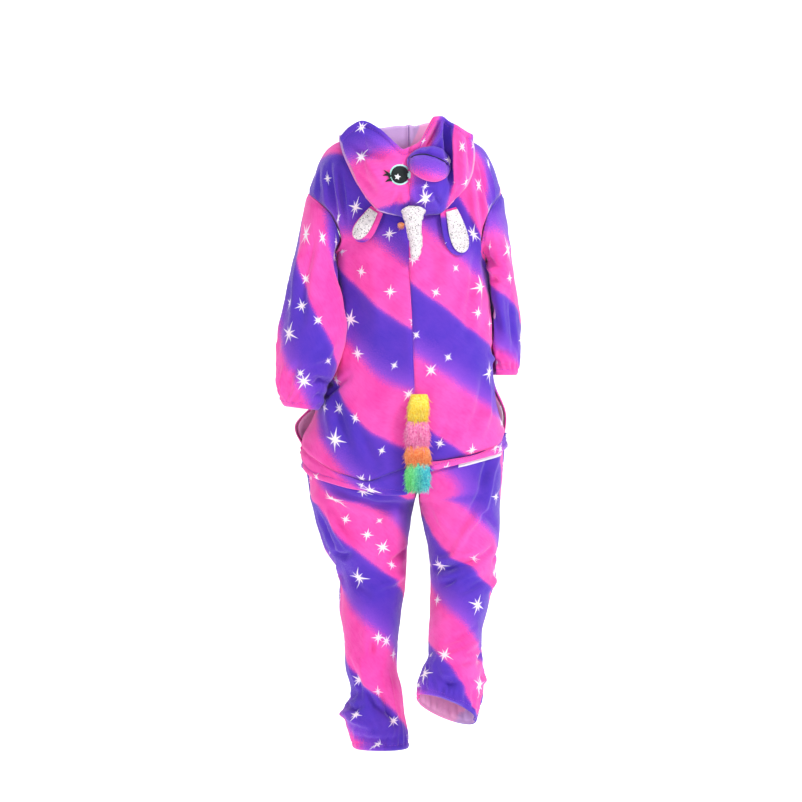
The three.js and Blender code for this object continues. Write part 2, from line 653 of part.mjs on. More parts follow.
// ---- snout, stuffed, with its stitched mouth line ----
const SNOUT = { x: -51, z: -44, wide: 48, tall: 38, depth: 30 };
const snoutOutline = (angle) => {
  const [a, b] = turned(SNOUT.wide, SNOUT.tall, rad(8))(angle);
  return [a, b * (1 - 0.16 * Math.cos(angle))];
};
addMesh('snout', pad({ ...SNOUT, outline: snoutOutline, surface: hoodSurface, lift: 3.4, swell: 0.45 }), PURPLE);

const MOUTH = table('x z', [[-90, -45], [-75, -37], [-57, -28], [-38, -24], [-22, -26], [-12, -33]]);
const MOUTH_RADIUS = 1.3;
{
  const points = MOUTH.map(({ x, z }) => {
    const share = Math.hypot((x - SNOUT.x) / SNOUT.wide, (z - SNOUT.z) / SNOUT.tall);
    const rise = SNOUT.depth * Math.max(0, 1 - share ** 2) ** 0.45;
    return v3(x, hoodSurface(x, z) + rise + 7.8, z);
  });
  const path = new THREE.CatmullRomCurve3(points);
  const section = new THREE.Shape().absarc(0, 0, MOUTH_RADIUS, 0, 2 * Math.PI);
  const cord = new THREE.ExtrudeGeometry(section, { steps: 12, curveSegments: 4, extrudePath: path, bevelEnabled: false });
  addMesh('mouth', mergeVertices(cord.deleteAttribute('normal').deleteAttribute('uv')), 0x15121c);
}

// ---- eyes: appliqued discs ----
const EYES = [['eye_left', 11, -68], ['eye_right', -124, -62]];
for (const [name, x, z] of EYES) {
  const eye = { x, z, outline: turned(name === 'eye_left' ? 22.5 : 12, 23, 0), depth: 1.6, swell: 0.2 };
  addMesh(name, pad({ ...eye, surface: hoodSurface, rings: 3 }), 0x101014, 0.6);
}

// ---- ears: a plush leaf and the glitter leaf sewn on it, hanging from the hood's fold ----
const EARS = [
  { name: 'ear_left', x: 60, z: -140, tipX: 104, tipZ: -206, wide: 24, shift: 8 },
  { name: 'ear_right', x: -92, z: -139, tipX: -122, tipZ: -236, wide: 29, shift: -8 },
];
const EAR_LIFT = 5;
function leafPoint(ear, along, across, wide, lift) {
  const axis = v3(ear.tipX - ear.x, 0, ear.tipZ - ear.z);
  const side = v3(-axis.z, 0, axis.x).normalize();
  const half = wide * (0.62 + 0.75 * along) * Math.sqrt(Math.max(0.004, 1 - along ** 3.2));
  const point = v3(ear.x, 0, ear.z).addScaledVector(axis, along).addScaledVector(side, half * across);
  point.y = backSurface(point.x, point.z) + lift + 5 * Math.sin(along * Math.PI) * (1 - across ** 2);
  return point;
}
for (const ear of EARS) {
  const outer = (u, v) => leafPoint(ear, v, 2 * u - 1, ear.wide, EAR_LIFT);
  addMesh(`${ear.name}_outer`, wall(outer, { across: 4, along: 6, inward: 1, thickness: 3 }), PINK);
  const glitter = { ...ear, x: ear.x + ear.shift, tipX: ear.tipX + ear.shift * 0.4, z: ear.z - 2, tipZ: ear.tipZ + 5 };
  const inner = (u, v) => leafPoint(glitter, v, 2 * u - 1, ear.wide * 0.68, EAR_LIFT + 7);
  addMesh(`${ear.name}_inner`, wall(inner, { across: 4, along: 6, inward: 1, thickness: 1.5 }), GLITTER, 0.5);
}

// ---- horn: a limp stuffed cone that hangs from the hood's fold ----
const HORN = table('along x z radius', [
  [0, -18, -140, 17], [0.12, -18, -150, 23], [0.3, -18, -168, 19], [0.6, -20, -200, 15], [1, -22, -244, 8],
]);
const hornCentre = (along) => {
  const { x, z, radius } = level(HORN, along);
  return { x, z, radius, y: mix(hoodSurface(-18, -128) + 13, backSurface(x, -244) + 16, along ** 0.7) };
};
{
  const ring = (turn, v) => {
    const { x, y, z, radius } = hornCentre(v);
    const angle = turn * 2 * Math.PI;
    return v3(x + radius * Math.cos(angle), y + 0.8 * radius * Math.sin(angle), z + 0.35 * radius * Math.sin(angle));
  };
  const top = hornCentre(0);
  const tip = hornCentre(1);
  const horn = stuffed(ring, v3(top.x, top.y, top.z + 6), v3(tip.x, tip.y, tip.z - 7), 12, 9);
  addMesh('horn', horn, GLITTER, 0.5);
}

// ---- a wisp of the mane under the fold ----
const behind = (x, z) => backSurface(x, z);
addMesh('mane_tuft', pad({ x: 9, z: -172, outline: turned(8, 9, 0), surface: behind, lift: 3, depth: 9, sides: 10, rings: 2 }), 0xe8742a);

// ---- tail: four bands of long fur, each a plain solid of its fur's reach ----
const TAIL = [
  { name: 'tail_yellow', from: -534, to: -598, wide: 24, color: 0xf4d23a },
  { name: 'tail_pink', from: -599, to: -649, wide: 29, color: 0xf27fb4 },
  { name: 'tail_orange', from: -650, to: -684, wide: 30, color: 0xf4894a },
  { name: 'tail_green', from: -685, to: -744, wide: 29, color: 0x52d6a0 },
];
const TAIL_X = table('z x', [[-534, -30], [-600, -26], [-690, -27], [-744, -26]]);
const TAIL_DEPTH = 24;
for (const { name, from, to, wide, color } of TAIL) {
  const ring = (turn, v) => {
    const z = mix(to + 3, from - 3, v);
    const angle = turn * 2 * Math.PI;
    const soft = v === 0 || v === 1 ? 0.85 : 1;
    const { x } = level(TAIL_X, z);
    const y = backSurface(x, Math.max(z, FREE_FROM)) + APRON + 8 + TAIL_DEPTH / 2;
    const [dx, dy] = [Math.cos(angle), Math.sin(angle)];
    return v3(x + soft * wide * Math.sign(dx) * Math.abs(dx) ** 0.7, y + soft * TAIL_DEPTH / 2 * dy, z);
  };
  const end = (z) => v3(level(TAIL_X, z).x, backSurface(-26, Math.max(z, FREE_FROM)) + APRON + 8 + TAIL_DEPTH / 2, z);
  addMesh(name, stuffed(ring, end(to + 0.2), end(from - 0.2), 14, 4), color, 1);
}

// ---- side pockets: bags that lie inside the fronts, open at the side seam ----
const POCKET_CLOTH = 1.5;
for (const [name, pocket] of Object.entries(POCKETS)) {
  const { half, middle, tall } = pocket;
  const bag = (u, v) => {
    const turn = (u - 0.5) * Math.PI;
    const back = (1 + Math.sin(turn)) / 2;
    const share = 1 - 0.5 * Math.cos(turn) ** 0.8;
    const z = mix(middle - tall - 40, middle + tall - 4, v);
    const inset = CLOTH + 6.5 + 4 * back + 26 * Math.cos(turn) * back;
    const point = trunkPoint(half, FRONT, share, z, inset);
    const open = bump(z, middle, tall) * share ** 5 * (1 - back);
    point.x += half.sign * pocket.gape * open;
    point.y += pocket.forward * open - 1.5;
    return point;
  };
  const geometry = wall(bag, { across: 10, along: 5, inward: half.sign, thickness: POCKET_CLOTH });
  addMesh(`pocket_${name}`, geometry, PINK);
}

// ---- white tape at the edge of the seat opening, just under the right band ----
{
  const TAPE = { from: 0.32, to: 0.86, tall: 12, below: 4 };
  const strip = (u, v) => {
    const share = mix(TAPE.from, TAPE.to, u);
    const hem = level(BAND, mix(-26, -216, Math.sin(share * Math.PI / 2))).hem;
    const z = hem - TAPE.below + TAPE.tall * v;
    const point = trunkPoint(RIGHT, BACK, share, z, SEAT_INSET - 2.2);
    return point;
  };
  addMesh('seat_tape', wall(strip, { across: 8, along: 1, inward: -1, thickness: 1 }), WHITE);
}

// ---- front: placket and buttons ----
const PLACKET = { wide: 30, low: -640, lift: 2.6 };
function frontSurface(z) {
  if (z <= UNDERARM) return level(LEFT.rows, z).front;
  let low = 0;
  let high = 1;
  for (let round = 0; round < 30; round += 1) {
    const t = (low + high) / 2;
    if (yokePoint(LEFT, FRONT, 0, t).z < z) low = t;
    else high = t;
  }
  return yokePoint(LEFT, FRONT, 0, low).y;
}
const centreX = (z) => level(LEFT.rows, Math.min(z, UNDERARM)).inner * ease(z, NECK_THROAT_Z + 60, UNDERARM);
{
  const strip = (u, v) => {
    const z = mix(PLACKET.low, NECK_THROAT_Z - 4, v);
    return v3(centreX(z) + (u - 0.5) * PLACKET.wide, frontSurface(z) - PLACKET.lift - CLOTH - 4 * ease(z, -150, -60), z);
  };
  addMesh('placket', wall(strip, { across: 2, along: 16, inward: -1 }), PURPLE);
}
const BUTTON = { radius: 9, thick: 3.5, count: 8, first: -92, pitch: 75, lift: 1 };
for (let i = 0; i < BUTTON.count; i += 1) {
  const z = BUTTON.first - i * BUTTON.pitch;
  const disc = new THREE.CylinderGeometry(BUTTON.radius, BUTTON.radius, BUTTON.thick, 12);
  const button = addMesh(`button_${i + 1}`, disc, 0x6a4fd0, 0.4);
  const rise = PLACKET.lift + CLOTH + BUTTON.lift + BUTTON.thick / 2;
  const lean = (frontSurface(z + 9) - frontSurface(z - 9)) / 18;
  button.rotation.x = Math.atan(lean);
  button.position.set(centreX(z), frontSurface(z) - rise - 4 * ease(z, -150, -60) - Math.abs(lean) * 10, z);
}

export default onesie;
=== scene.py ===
import math

import bmesh
import bpy
import numpy as np
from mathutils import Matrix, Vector
from mathutils.bvhtree import BVHTree


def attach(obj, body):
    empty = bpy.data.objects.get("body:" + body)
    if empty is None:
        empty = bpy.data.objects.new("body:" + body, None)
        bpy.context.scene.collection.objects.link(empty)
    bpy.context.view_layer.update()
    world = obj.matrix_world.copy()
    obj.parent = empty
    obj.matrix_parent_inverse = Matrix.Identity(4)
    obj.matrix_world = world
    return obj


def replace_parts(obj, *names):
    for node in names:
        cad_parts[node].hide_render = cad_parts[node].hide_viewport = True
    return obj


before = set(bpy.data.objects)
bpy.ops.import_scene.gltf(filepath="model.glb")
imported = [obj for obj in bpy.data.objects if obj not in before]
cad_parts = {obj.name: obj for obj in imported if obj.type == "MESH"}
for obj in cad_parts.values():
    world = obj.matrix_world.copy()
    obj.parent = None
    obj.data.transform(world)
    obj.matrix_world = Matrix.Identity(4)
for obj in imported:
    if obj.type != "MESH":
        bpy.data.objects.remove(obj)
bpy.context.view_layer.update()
BODY = "root"
MM = 0.001

# ---- small helpers for arrays ----


def mix(a, b, t):
    return a + (b - a) * t


def clamp(x, low, high):
    return np.minimum(high, np.maximum(low, x))


def ease(x, start, end):
    t = clamp((x - start) / (end - start), 0, 1)
    return t * t * (3 - 2 * t)


def bump(x, middle, reach):
    t = clamp(1 - np.abs(x - middle) / reach, 0, 1)
    return t * t * (3 - 2 * t)


def full_turn(count):
    """Angles all round, evenly spaced, the last one short of the first."""
    return np.linspace(0, 2 * math.pi, count, endpoint=False)


def stack(x, y, z):
    return np.stack(np.broadcast_arrays(x, y, z), axis=-1).astype(float)


def table(columns, *rows):
    """Named columns; the first is the key, always rising or always falling."""
    return {name: np.array(column, float) for name, column in zip(columns.split(), zip(*rows))}


def level(rows, key):
    """The table's row at any key, joined smoothly without overshoot."""
    names = list(rows)
    keys = rows[names[0]]
    turn = 1 if keys[-1] > keys[0] else -1
    key = np.clip(np.asarray(key, float), keys.min(), keys.max())
    at = np.clip(np.searchsorted(turn * keys, turn * key, side="right") - 1, 0, len(keys) - 2)
    span = keys[at + 1] - keys[at]
    t = (key - keys[at]) / span
    found = {}
    for name in names:
        column = rows[name]
        slope = np.diff(column) / np.diff(keys)
        tangent = np.concatenate([slope[:1], np.zeros(len(slope) - 1), slope[-1:]])
        before, after = slope[:-1], slope[1:]
        same = before * after > 0
        middle = np.zeros(len(before))
        middle[same] = 2 * before[same] * after[same] / (before[same] + after[same])
        tangent[1:-1] = middle
        a = (2 * t**3 - 3 * t**2 + 1) * column[at]
        b = (t**3 - 2 * t**2 + t) * span * tangent[at]
        c = (3 * t**2 - 2 * t**3) * column[at + 1]
        d = (t**3 - t**2) * span * tangent[at + 1]
        found[name] = a + b + c + d
    return found


# ---- the worn form: the same sizes as the solid model's ----
CLOTH = 2.4
GAP = 0.3
UNDERARM = -250
NECK_HALF = 84
NECK_BACK = 62
NECK_FRONT = 78
NECK_NAPE_Z = -6
NECK_SIDE_Z = 20
NECK_THROAT_Z = -58
NECK_SHARE = 0.4
SHOULDER_DROP = 4.3
FLATNESS = 0.85
SHOULDER_GAP = 1.3
APRON = 6
TUCK = 46
LEFT, RIGHT = 1, -1
BACK, FRONT = 1, -1

ROW = "z outer inner back front side fork lift roll"
TRUNK = {
    LEFT: table(
        ROW,
        (-250, 160, -8, 118, -112, -8, 0, 0, 0),
        (-330, 152, -12, 121, -118, -14, 0, 0, 0),
        (-440, 158, -16, 124, -122, -18, 0, 0, 0),
        (-535, 182, -20, 129, -124, -17, 0, 0, 0),
        (-570, 195, -22, 132, -124, -15, 0, 0, 0),
        (-604, 208, -23, 135, -124, -12, 0, 0, 0),
        (-638, 220, -24, 138, -123, -10, 0, 0, 0),
        (-670, 223, -25, 140, -121, -10, 0, 0, 0),
        (-700, 218, -26, 140, -118, -10, 10, 0, 0),
        (-740, 213, -27, 134, -114, -10, 38, 0, 0),
        (-765, 210, -27, 128, -110, -10, 66, 0, 0),
        (-778, 206, -20, 122, -106, -10, 90, 0, 0),
        (-836, 191, -9, 104, -98, -14, 90, 0, 0),
        (-880, 174, -4, 92, -94, -18, 90, 0, 0),
        (-946, 140, -2, 74, -92, -22, 90, 0, 0),
        (-1012, 139, 7, 72, -90, -20, 90, 0, 0),
        (-1078, 134, 15, 74, -82, -14, 90, 0, 0),
        (-1144, 130, 18, 72, -72, -8, 90, 0, 0),
        (-1190, 120, 8, 66, -66, -4, 90, 0, 0),
        (-1240, 136, 2, 72, -70, 0, 90, 0, 0),
        (-1290, 122, -6, 64, -66, 0, 90, 0, 0),
        (-1318, 112, -6, 56, -60, 0, 90, 0, 0),
    ),
    RIGHT: table(
        ROW,
        (-250, -176, -8, 118, -112, -2, 0, 0, 0),
        (-330, -184, -12, 121, -118, 4, 0, 0, 0),
        (-440, -190, -16, 124, -122, 8, 0, 0, 0),
        (-505, -194, -19, 127, -124, 8, 0, 0, 0),
        (-542, -198, -21, 130, -124, 6, 0, 0, 0),
        (-580, -204, -22, 133, -124, 3, 0, 0, 0),
        (-620, -212, -24, 137, -124, 0, 0, 0, 0),
        (-660, -218, -25, 140, -122, -3, 0, 0, 0),
        (-700, -215, -26, 141, -116, -2, 10, 0, 0),
        (-740, -211, -27, 138, -108, 2, 38, 0, 0),
        (-765, -209, -28, 134, -100, 6, 66, 0, 0),
        (-778, -208, -31, 130, -96, 8, 90, 0, 0),
        (-836, -207, -42, 122, -84, 14, 90, 0.03, 0),
        (-880, -202, -51, 120, -72, 20, 90, 0.06, 0),
        (-940, -194, -57, 122, -52, 32, 90, 0.12, 0),
        (-1000, -181, -55, 142, -24, 54, 90, 0.22, 0.04),
        (-1060, -166, -52, 170, 6, 84, 90, 0.34, 0.1),
        (-1110, -166, -52, 190, 34, 110, 90, 0.42, 0.2),
        (-1150, -168, -36, 206, 54, 130, 90, 0.46, 0.28),
        (-1190, -158, -28, 206, 78, 144, 90, 0.5, 0.36),
        (-1212, -152, -26, 204, 88, 150, 90, 0.5, 0.38),
    ),
}


def trunk_point(half, face, u, z, inset=0.0):
    row = level(TRUNK[half], z)
    closed = np.radians(row["fork"])
    reach = (row["outer"] - row["inner"]) / (1 + np.sin(closed))
    middle = row["inner"] + reach * np.sin(closed)
    angle = mix(-closed, math.pi / 2, u)
    depth = (row["back"] if face == BACK else row["front"]) - row["side"] - face * inset
    x = middle + (reach - half * inset) * np.sin(angle) + half * GAP / 2
    y = row["side"] + face * GAP + depth * np.maximum(0, np.cos(angle)) ** FLATNESS
    return stack(x, y, z + row["lift"] * (y - row["side"]) + row["roll"] * (x - middle))


ARMHOLE = {
    (LEFT, BACK): table(
        "t x y z",
        (0, 160, -7.8, -250),
        (0.15, 156, 38, -240),
        (0.3, 140, 76, -204),
        (0.5, 156, 82, -154),
        (0.7, 188, 62, -121),
        (0.88, 207, 28, -105),
        (1, 214, SHOULDER_GAP, -99),
    ),
    (LEFT, FRONT): table(
        "t x y z",
        (0, 160, -8.2, -250),
        (0.15, 150, -48, -234),
        (0.3, 144, -74, -200),
        (0.5, 160, -76, -156),
        (0.7, 188, -54, -124),
        (0.88, 207, -24, -106),
        (1, 214, -SHOULDER_GAP, -99),
    ),
    (RIGHT, BACK): table(
        "t x y z",
        (0, -176, -1.8, -250),
        (0.15, -172, 40, -236),
        (0.3, -166, 68, -204),
        (0.5, -176, 74, -158),
        (0.7, -194, 56, -124),
        (0.88, -208, 26, -106),
        (1, -213, SHOULDER_GAP, -99),
    ),
    (RIGHT, FRONT): table(
        "t x y z",
        (0, -176, -2.2, -250),
        (0.15, -164, -46, -234),
        (0.3, -158, -72, -200),
        (0.5, -170, -74, -156),
        (0.7, -192, -54, -124),
        (0.88, -208, -24, -106),
        (1, -213, -SHOULDER_GAP, -99),
    ),
}
ARMHOLE_SCOOP = 0.3


def top_edge(half, face, u):
    start = NECK_NAPE_Z if face == BACK else NECK_THROAT_Z
    depth = NECK_BACK if face == BACK else -NECK_FRONT
    tip = level(ARMHOLE[half, face], 1.0)
    turn = clamp(u / NECK_SHARE, 0, 1) * math.pi / 2
    neck = stack(
        half * (GAP / 2 + NECK_HALF * np.sin(turn)),
        face * GAP / 2 + depth * np.cos(turn),
        mix(start, NECK_SIDE_Z, np.sin(turn) ** 2),
    )
    out = clamp((u - NECK_SHARE) / (1 - NECK_SHARE), 0, 1)
    shoulder = stack(
        mix(half * (NECK_HALF + GAP / 2), tip["x"], out),
        face * mix(GAP / 2, SHOULDER_GAP, ease(out, 0, 0.1)),
        mix(NECK_SIDE_Z, tip["z"], out**SHOULDER_DROP),
    )
    return np.where((u < NECK_SHARE)[..., None], neck, shoulder)


def yoke_dome(half, face, share, t):
    low = trunk_point(half, face, share, np.full_like(share, UNDERARM))
    top = top_edge(half, face, share)
    turn = t * math.pi / 2
    return stack(
        mix(low[..., 0], top[..., 0], 1 - np.cos(turn)),
        top[..., 1] + (low[..., 1] - top[..., 1]) * np.cos(turn),
        mix(low[..., 2], top[..., 2], np.sin(turn)),
    )


def yoke_point(half, face, u, t):
    edge = level(ARMHOLE[half, face], t)
    reach = 1 - ARMHOLE_SCOOP * bump(t, 0.3, 0.3)
    pull = stack(edge["x"], edge["y"], edge["z"]) - yoke_dome(half, face, reach, t)
    return yoke_dome(half, face, u * reach, t) + pull * u[..., None]


def back_surface_of(half, x, z):
    row = level(TRUNK[half], np.minimum(z, UNDERARM))
    across = clamp((x - row["inner"]) / (row["outer"] - row["inner"]), 0, 0.999)
    below = row["side"] + (row["back"] - row["side"]) * np.cos(np.arcsin(across)) ** FLATNESS
    u = np.full_like(x, 0.5)
    t = np.full_like(x, 0.5)
    step = 1e-3
    for _ in range(24):
        here = yoke_point(half, BACK, u, t)
        du_step = np.where(u > 0.5, -step, step)
        dt_step = np.where(t > 0.5, -step, step)
        du = (yoke_point(half, BACK, u + du_step, t) - here) / du_step[..., None]
        dt = (yoke_point(half, BACK, u, t + dt_step) - here) / dt_step[..., None]
        area = du[..., 0] * dt[..., 2] - du[..., 2] * dt[..., 0]
        ex = x - here[..., 0]
        ez = z - here[..., 2]
        u = clamp(u + 0.7 * (ex * dt[..., 2] - ez * dt[..., 0]) / area, 0, 1)
        t = clamp(t + 0.7 * (du[..., 0] * ez - du[..., 2] * ex) / area, 0, 1)
    return np.where(z <= UNDERARM, below, yoke_point(half, BACK, u, t)[..., 1])


def back_surface(x, z):
    """How far back the trunk's back lies at x and z."""
    x, z = np.broadcast_arrays(np.asarray(x, float), np.asarray(z, float))
    centre = level(TRUNK[LEFT], np.minimum(z, UNDERARM))["inner"]
    return np.where(x > centre, back_surface_of(LEFT, x, z), back_surface_of(RIGHT, x, z))


POCKETS = {
    LEFT: {"middle": -604, "tall": 66, "gape": 36, "forward": -10},
    RIGHT: {"middle": -580, "tall": 78, "gape": 20, "forward": -8},
}


def front_point(half, u, z):
    pocket = POCKETS[half]
    point = trunk_point(half, FRONT, u, z)
    mouth = bump(z, pocket["middle"], pocket["tall"]) * u**5
    point[..., 0] += half * pocket["gape"] * mouth
    point[..., 1] += pocket["forward"] * mouth
    return point


BAND = table(
    "x seam hem",
    (-224, -622, -652),
    (-207, -645, -664),
    (-178, -657, -671),
    (-132, -669, -682),
    (-77, -677, -694),
    (-50, -680, -704),
    (-27, -684, -724),
    (0, -694, -752),
    (44, -711, -754),
    (80, -722, -747),
    (125, -711, -739),
    (158, -701, -730),
    (207, -672, -716),
    (226, -655, -700),
)
FREE_FROM = -690


def seat_back(half, x, z):
    row = level(TRUNK[half], z)
    closed = np.radians(row["fork"])
    reach = (row["outer"] - row["inner"]) / (1 + np.sin(closed))
    across = clamp((x - row["inner"]) / reach - np.sin(closed), -0.999, 0.999)
    return row["side"] + (row["back"] - row["side"]) * np.cos(np.arcsin(across)) ** FLATNESS


def back_point(half, u, z):
    free = level(TRUNK[half], np.maximum(z, FREE_FROM))
    angle = u * math.pi / 2
    edge = level(BAND, free["outer"])["seam"]
    out = APRON * ease(z, edge + 2 * TUCK, edge + TUCK / 2)
    wide = free["outer"] - free["inner"] + half * out
    x = free["inner"] + wide * np.sin(angle) + half * GAP / 2
    y = free["side"] + GAP / 2 + (free["back"] + out - free["side"]) * np.cos(angle) ** FLATNESS
    return stack(x, np.maximum(y, seat_back(half, x, z) + out), z)


SLEEVES = {
    LEFT: table(
        "z x y wide deep slope",
        (-200, 184, 6, 42, 88, 0.8),
        (-260, 190, 26, 54, 86, 0.4),
        (-330, 191, 52, 67, 78, 0.1),
        (-420, 200, 62, 73, 74, 0),
        (-500, 216, 50, 66, 66, 0),
        (-545, 224, 42, 52, 54, 0.08),
        (-568, 226, 38, 38, 42, 0.12),
    ),
    RIGHT: table(
        "z x y wide deep slope",
        (-200, -198, -2, 26, 84, -0.8),
        (-255, -206, -18, 30, 80, -0.4),
        (-310, -206, -34, 40, 76, -0.1),
        (-380, -204, -44, 50, 70, 0),
        (-440, -204, -44, 52, 62, 0),
        (-478, -204, -42, 48, 50, 0),
        (-497, -208, -40, 38, 42, 0),
    ),
}
SLEEVE_CLEAR = 8
YOKE_SWELL = 8
CAP_SHARE = 0.2


def clear_of_trunk(half, point, gap):
    row = level(TRUNK[half], np.minimum(point[..., 2], UNDERARM))
    reach = row["outer"] - row["inner"] + half * gap
    behind = point[..., 1] > row["side"]
    depth = np.where(behind, row["back"] - row["side"], row["side"] - row["front"]) + gap
    dx = np.maximum((point[..., 0] - row["inner"]) / reach, 0)
    dy = np.abs(point[..., 1] - row["side"]) / depth
    low = np.ones_like(dx)
    high = np.full_like(dx, 20)
    for _ in range(30):
        middle = (low + high) / 2
        inside = (middle * dx) ** 2 + (middle * dy) ** (2 / FLATNESS) < 1
        low = np.where(inside, middle, low)
        high = np.where(inside, high, middle)
    grow = np.where(dx**2 + dy ** (2 / FLATNESS) >= 1, 1, low)
    return stack(
        row["inner"] + (point[..., 0] - row["inner"]) * grow,
        row["side"] + (point[..., 1] - row["side"]) * grow,
        point[..., 2],
    )


def armhole_point(half, u):
    back = level(ARMHOLE[half, BACK], 2 * u)
    front = level(ARMHOLE[half, FRONT], 2 - 2 * u)
    chosen = {name: np.where(u < 0.5, back[name], front[name]) for name in "xyz"}
    return stack(chosen["x"], chosen["y"], chosen["z"])


def sleeve_point(half, u, v):
    rings = SLEEVES[half]
    turn = u * 2 * math.pi
    row = level(rings, mix(rings["z"][0], rings["z"][-1], v))
    x = row["x"] - half * row["wide"] * np.cos(turn)
    y = row["y"] + row["deep"] * np.sin(turn)
    ring = stack(x, y, row["z"] + row["slope"] * (x - row["x"]))
    away = stack(half * (1.4 + 2.8 * bump(u, 0, 0.4) + 3.2 * bump(u, 1, 0.4)), 0 * u, 0 * u - 1.2)
    start = armhole_point(half, u % 1) + away
    blend = 1 - (1 - clamp(v / CAP_SHARE, 0, 1)) ** 2
    point = mix(start, ring, blend[..., None])
    gap = SLEEVE_CLEAR + YOKE_SWELL * ease(point[..., 2], UNDERARM, UNDERARM + 45)
    return clear_of_trunk(half, point, gap * ease(v, -0.1, 0.25))


HOOD_EDGE = {
    LEFT: table("height x", (0, 60), (0.12, 88), (0.25, 104), (0.5, 121), (0.75, 134), (1, 142)),
    RIGHT: table("height x", (0, -84), (0.12, -112), (0.25, -134), (0.5, -147), (0.75, -150), (1, -146)),
}
HOOD_RIM = {
    LEFT: table("x z", (-8, -8), (4, -12), (20, 0), (57, 33), (92, 49), (120, 36), (142, 15)),
    RIGHT: table(
        "x z",
        (-146, 20),
        (-127, 29),
        (-95, 47),
        (-78, 58),
        (-62, 57),
        (-46, 32),
        (-28, 2),
        (-8, -8),
    ),
}
HOOD_SEAM_X = -8
HOOD_FOLD = table("x z", (-150, -118), (-110, -132), (-62, -152), (0, -157), (45, -148), (100, -122))
HOOD_NAPE = table(
    "x z", (-146, 14), (-100, 34), (-57, 46), (-20, 40), (10, 40), (60, 33), (100, 32), (142, 10)
)
HOOD_GAP = 4
HOOD_BAG = 60
HOOD_PINCH = 8
SHOULDER_Z = 22
NEAR_SHARE = 0.42
FAR_SHARE = 0.42


def behind_neck(x, z):
    highest = mix(-22, -60, clamp(np.abs(x) / 140, 0, 1) ** 2)
    return back_surface(x, np.minimum(z, highest))


def bag_depth(u, height):
    swell = HOOD_PINCH + (HOOD_BAG - HOOD_PINCH) * np.sqrt(np.maximum(0, 1 - u * u))
    return swell * np.sqrt(np.sin(clamp(height / 0.4, 0, 1) * math.pi / 2))


def hood_point(half, u, v):
    near = v < NEAR_SHARE
    height = np.where(near, 1 - v / NEAR_SHARE, np.minimum(1, (v - NEAR_SHARE) / FAR_SHARE))
    seam = HOOD_SEAM_X + half * GAP / 2
    x = mix(seam, level(HOOD_EDGE[half], height)["x"], u)
    top = np.where(near, level(HOOD_RIM[half], x)["z"], level(HOOD_NAPE, x)["z"])
    z = mix(level(HOOD_FOLD, x)["z"], top, height)
    depth = np.where(near, bag_depth(u, height), 0)
    far = stack(x, behind_neck(x, z) + HOOD_GAP + CLOTH + depth, z)
    down = clamp((v - NEAR_SHARE - FAR_SHARE) / (1 - NEAR_SHARE - FAR_SHARE), 0, 1)
    neck_x = clamp(np.abs(x) / NECK_HALF, 0, 0.995)
    neck_y = NECK_BACK * np.sqrt(1 - neck_x**2) - 1
    neck_z = mix(NECK_NAPE_Z, NECK_SIDE_Z, neck_x**2) + 4 + 6 * neck_x
    beyond = clamp((np.abs(x) - NECK_HALF) / 60, 0, 1)
    shoulder_z = mix(neck_z, SHOULDER_Z, beyond)
    neck = stack(x, neck_y, np.maximum(shoulder_z, far[..., 2] - 8))
    point = mix(far, neck, down[..., None])
    point[..., 2] += np.sin(down * math.pi) * 5
    return point


NECK_BAND = table("turn tall lean", (0, 30, 9), (0.3, 26, 12), (0.6, 34, 16), (0.85, 26, 10), (1, 14, 5))
BAND_FROM = 0.16


def neck_band_point(half, u, v):
    turn = mix(BAND_FROM, 1, u)
    angle = turn * math.pi
    behind = np.cos(angle) > 0
    depth = np.where(behind, NECK_BACK, NECK_FRONT)
    low = np.where(behind, NECK_NAPE_Z, NECK_THROAT_Z)
    row = level(NECK_BAND, turn)
    grow = 1 + (v * row["lean"] - 2) / NECK_HALF
    x = half * (GAP / 2 + NECK_HALF * grow * np.sin(angle))
    z = mix(low, NECK_SIDE_Z, np.sin(angle) ** 2) + np.where(behind, 5, 9) + v * row["tall"]
    return stack(x, depth * grow * np.cos(angle), z)


def leaf_point(ear, along, across, wide, lift):
    axis = np.array([ear["tip_x"] - ear["x"], 0, ear["tip_z"] - ear["z"]])
    side = np.array([-axis[2], 0, axis[0]]) / np.hypot(axis[0], axis[2])
    half = wide * (0.62 + 0.75 * along) * np.sqrt(np.maximum(0.004, 1 - along**3.2))
    start = np.array([ear["x"], 0, ear["z"]])
    point = start + axis * along[..., None] + side * (half * across)[..., None]
    rise = 5 * np.sin(along * math.pi) * (1 - across**2)
    point[..., 1] = back_surface(point[..., 0], point[..., 2]) + lift + rise
    return point


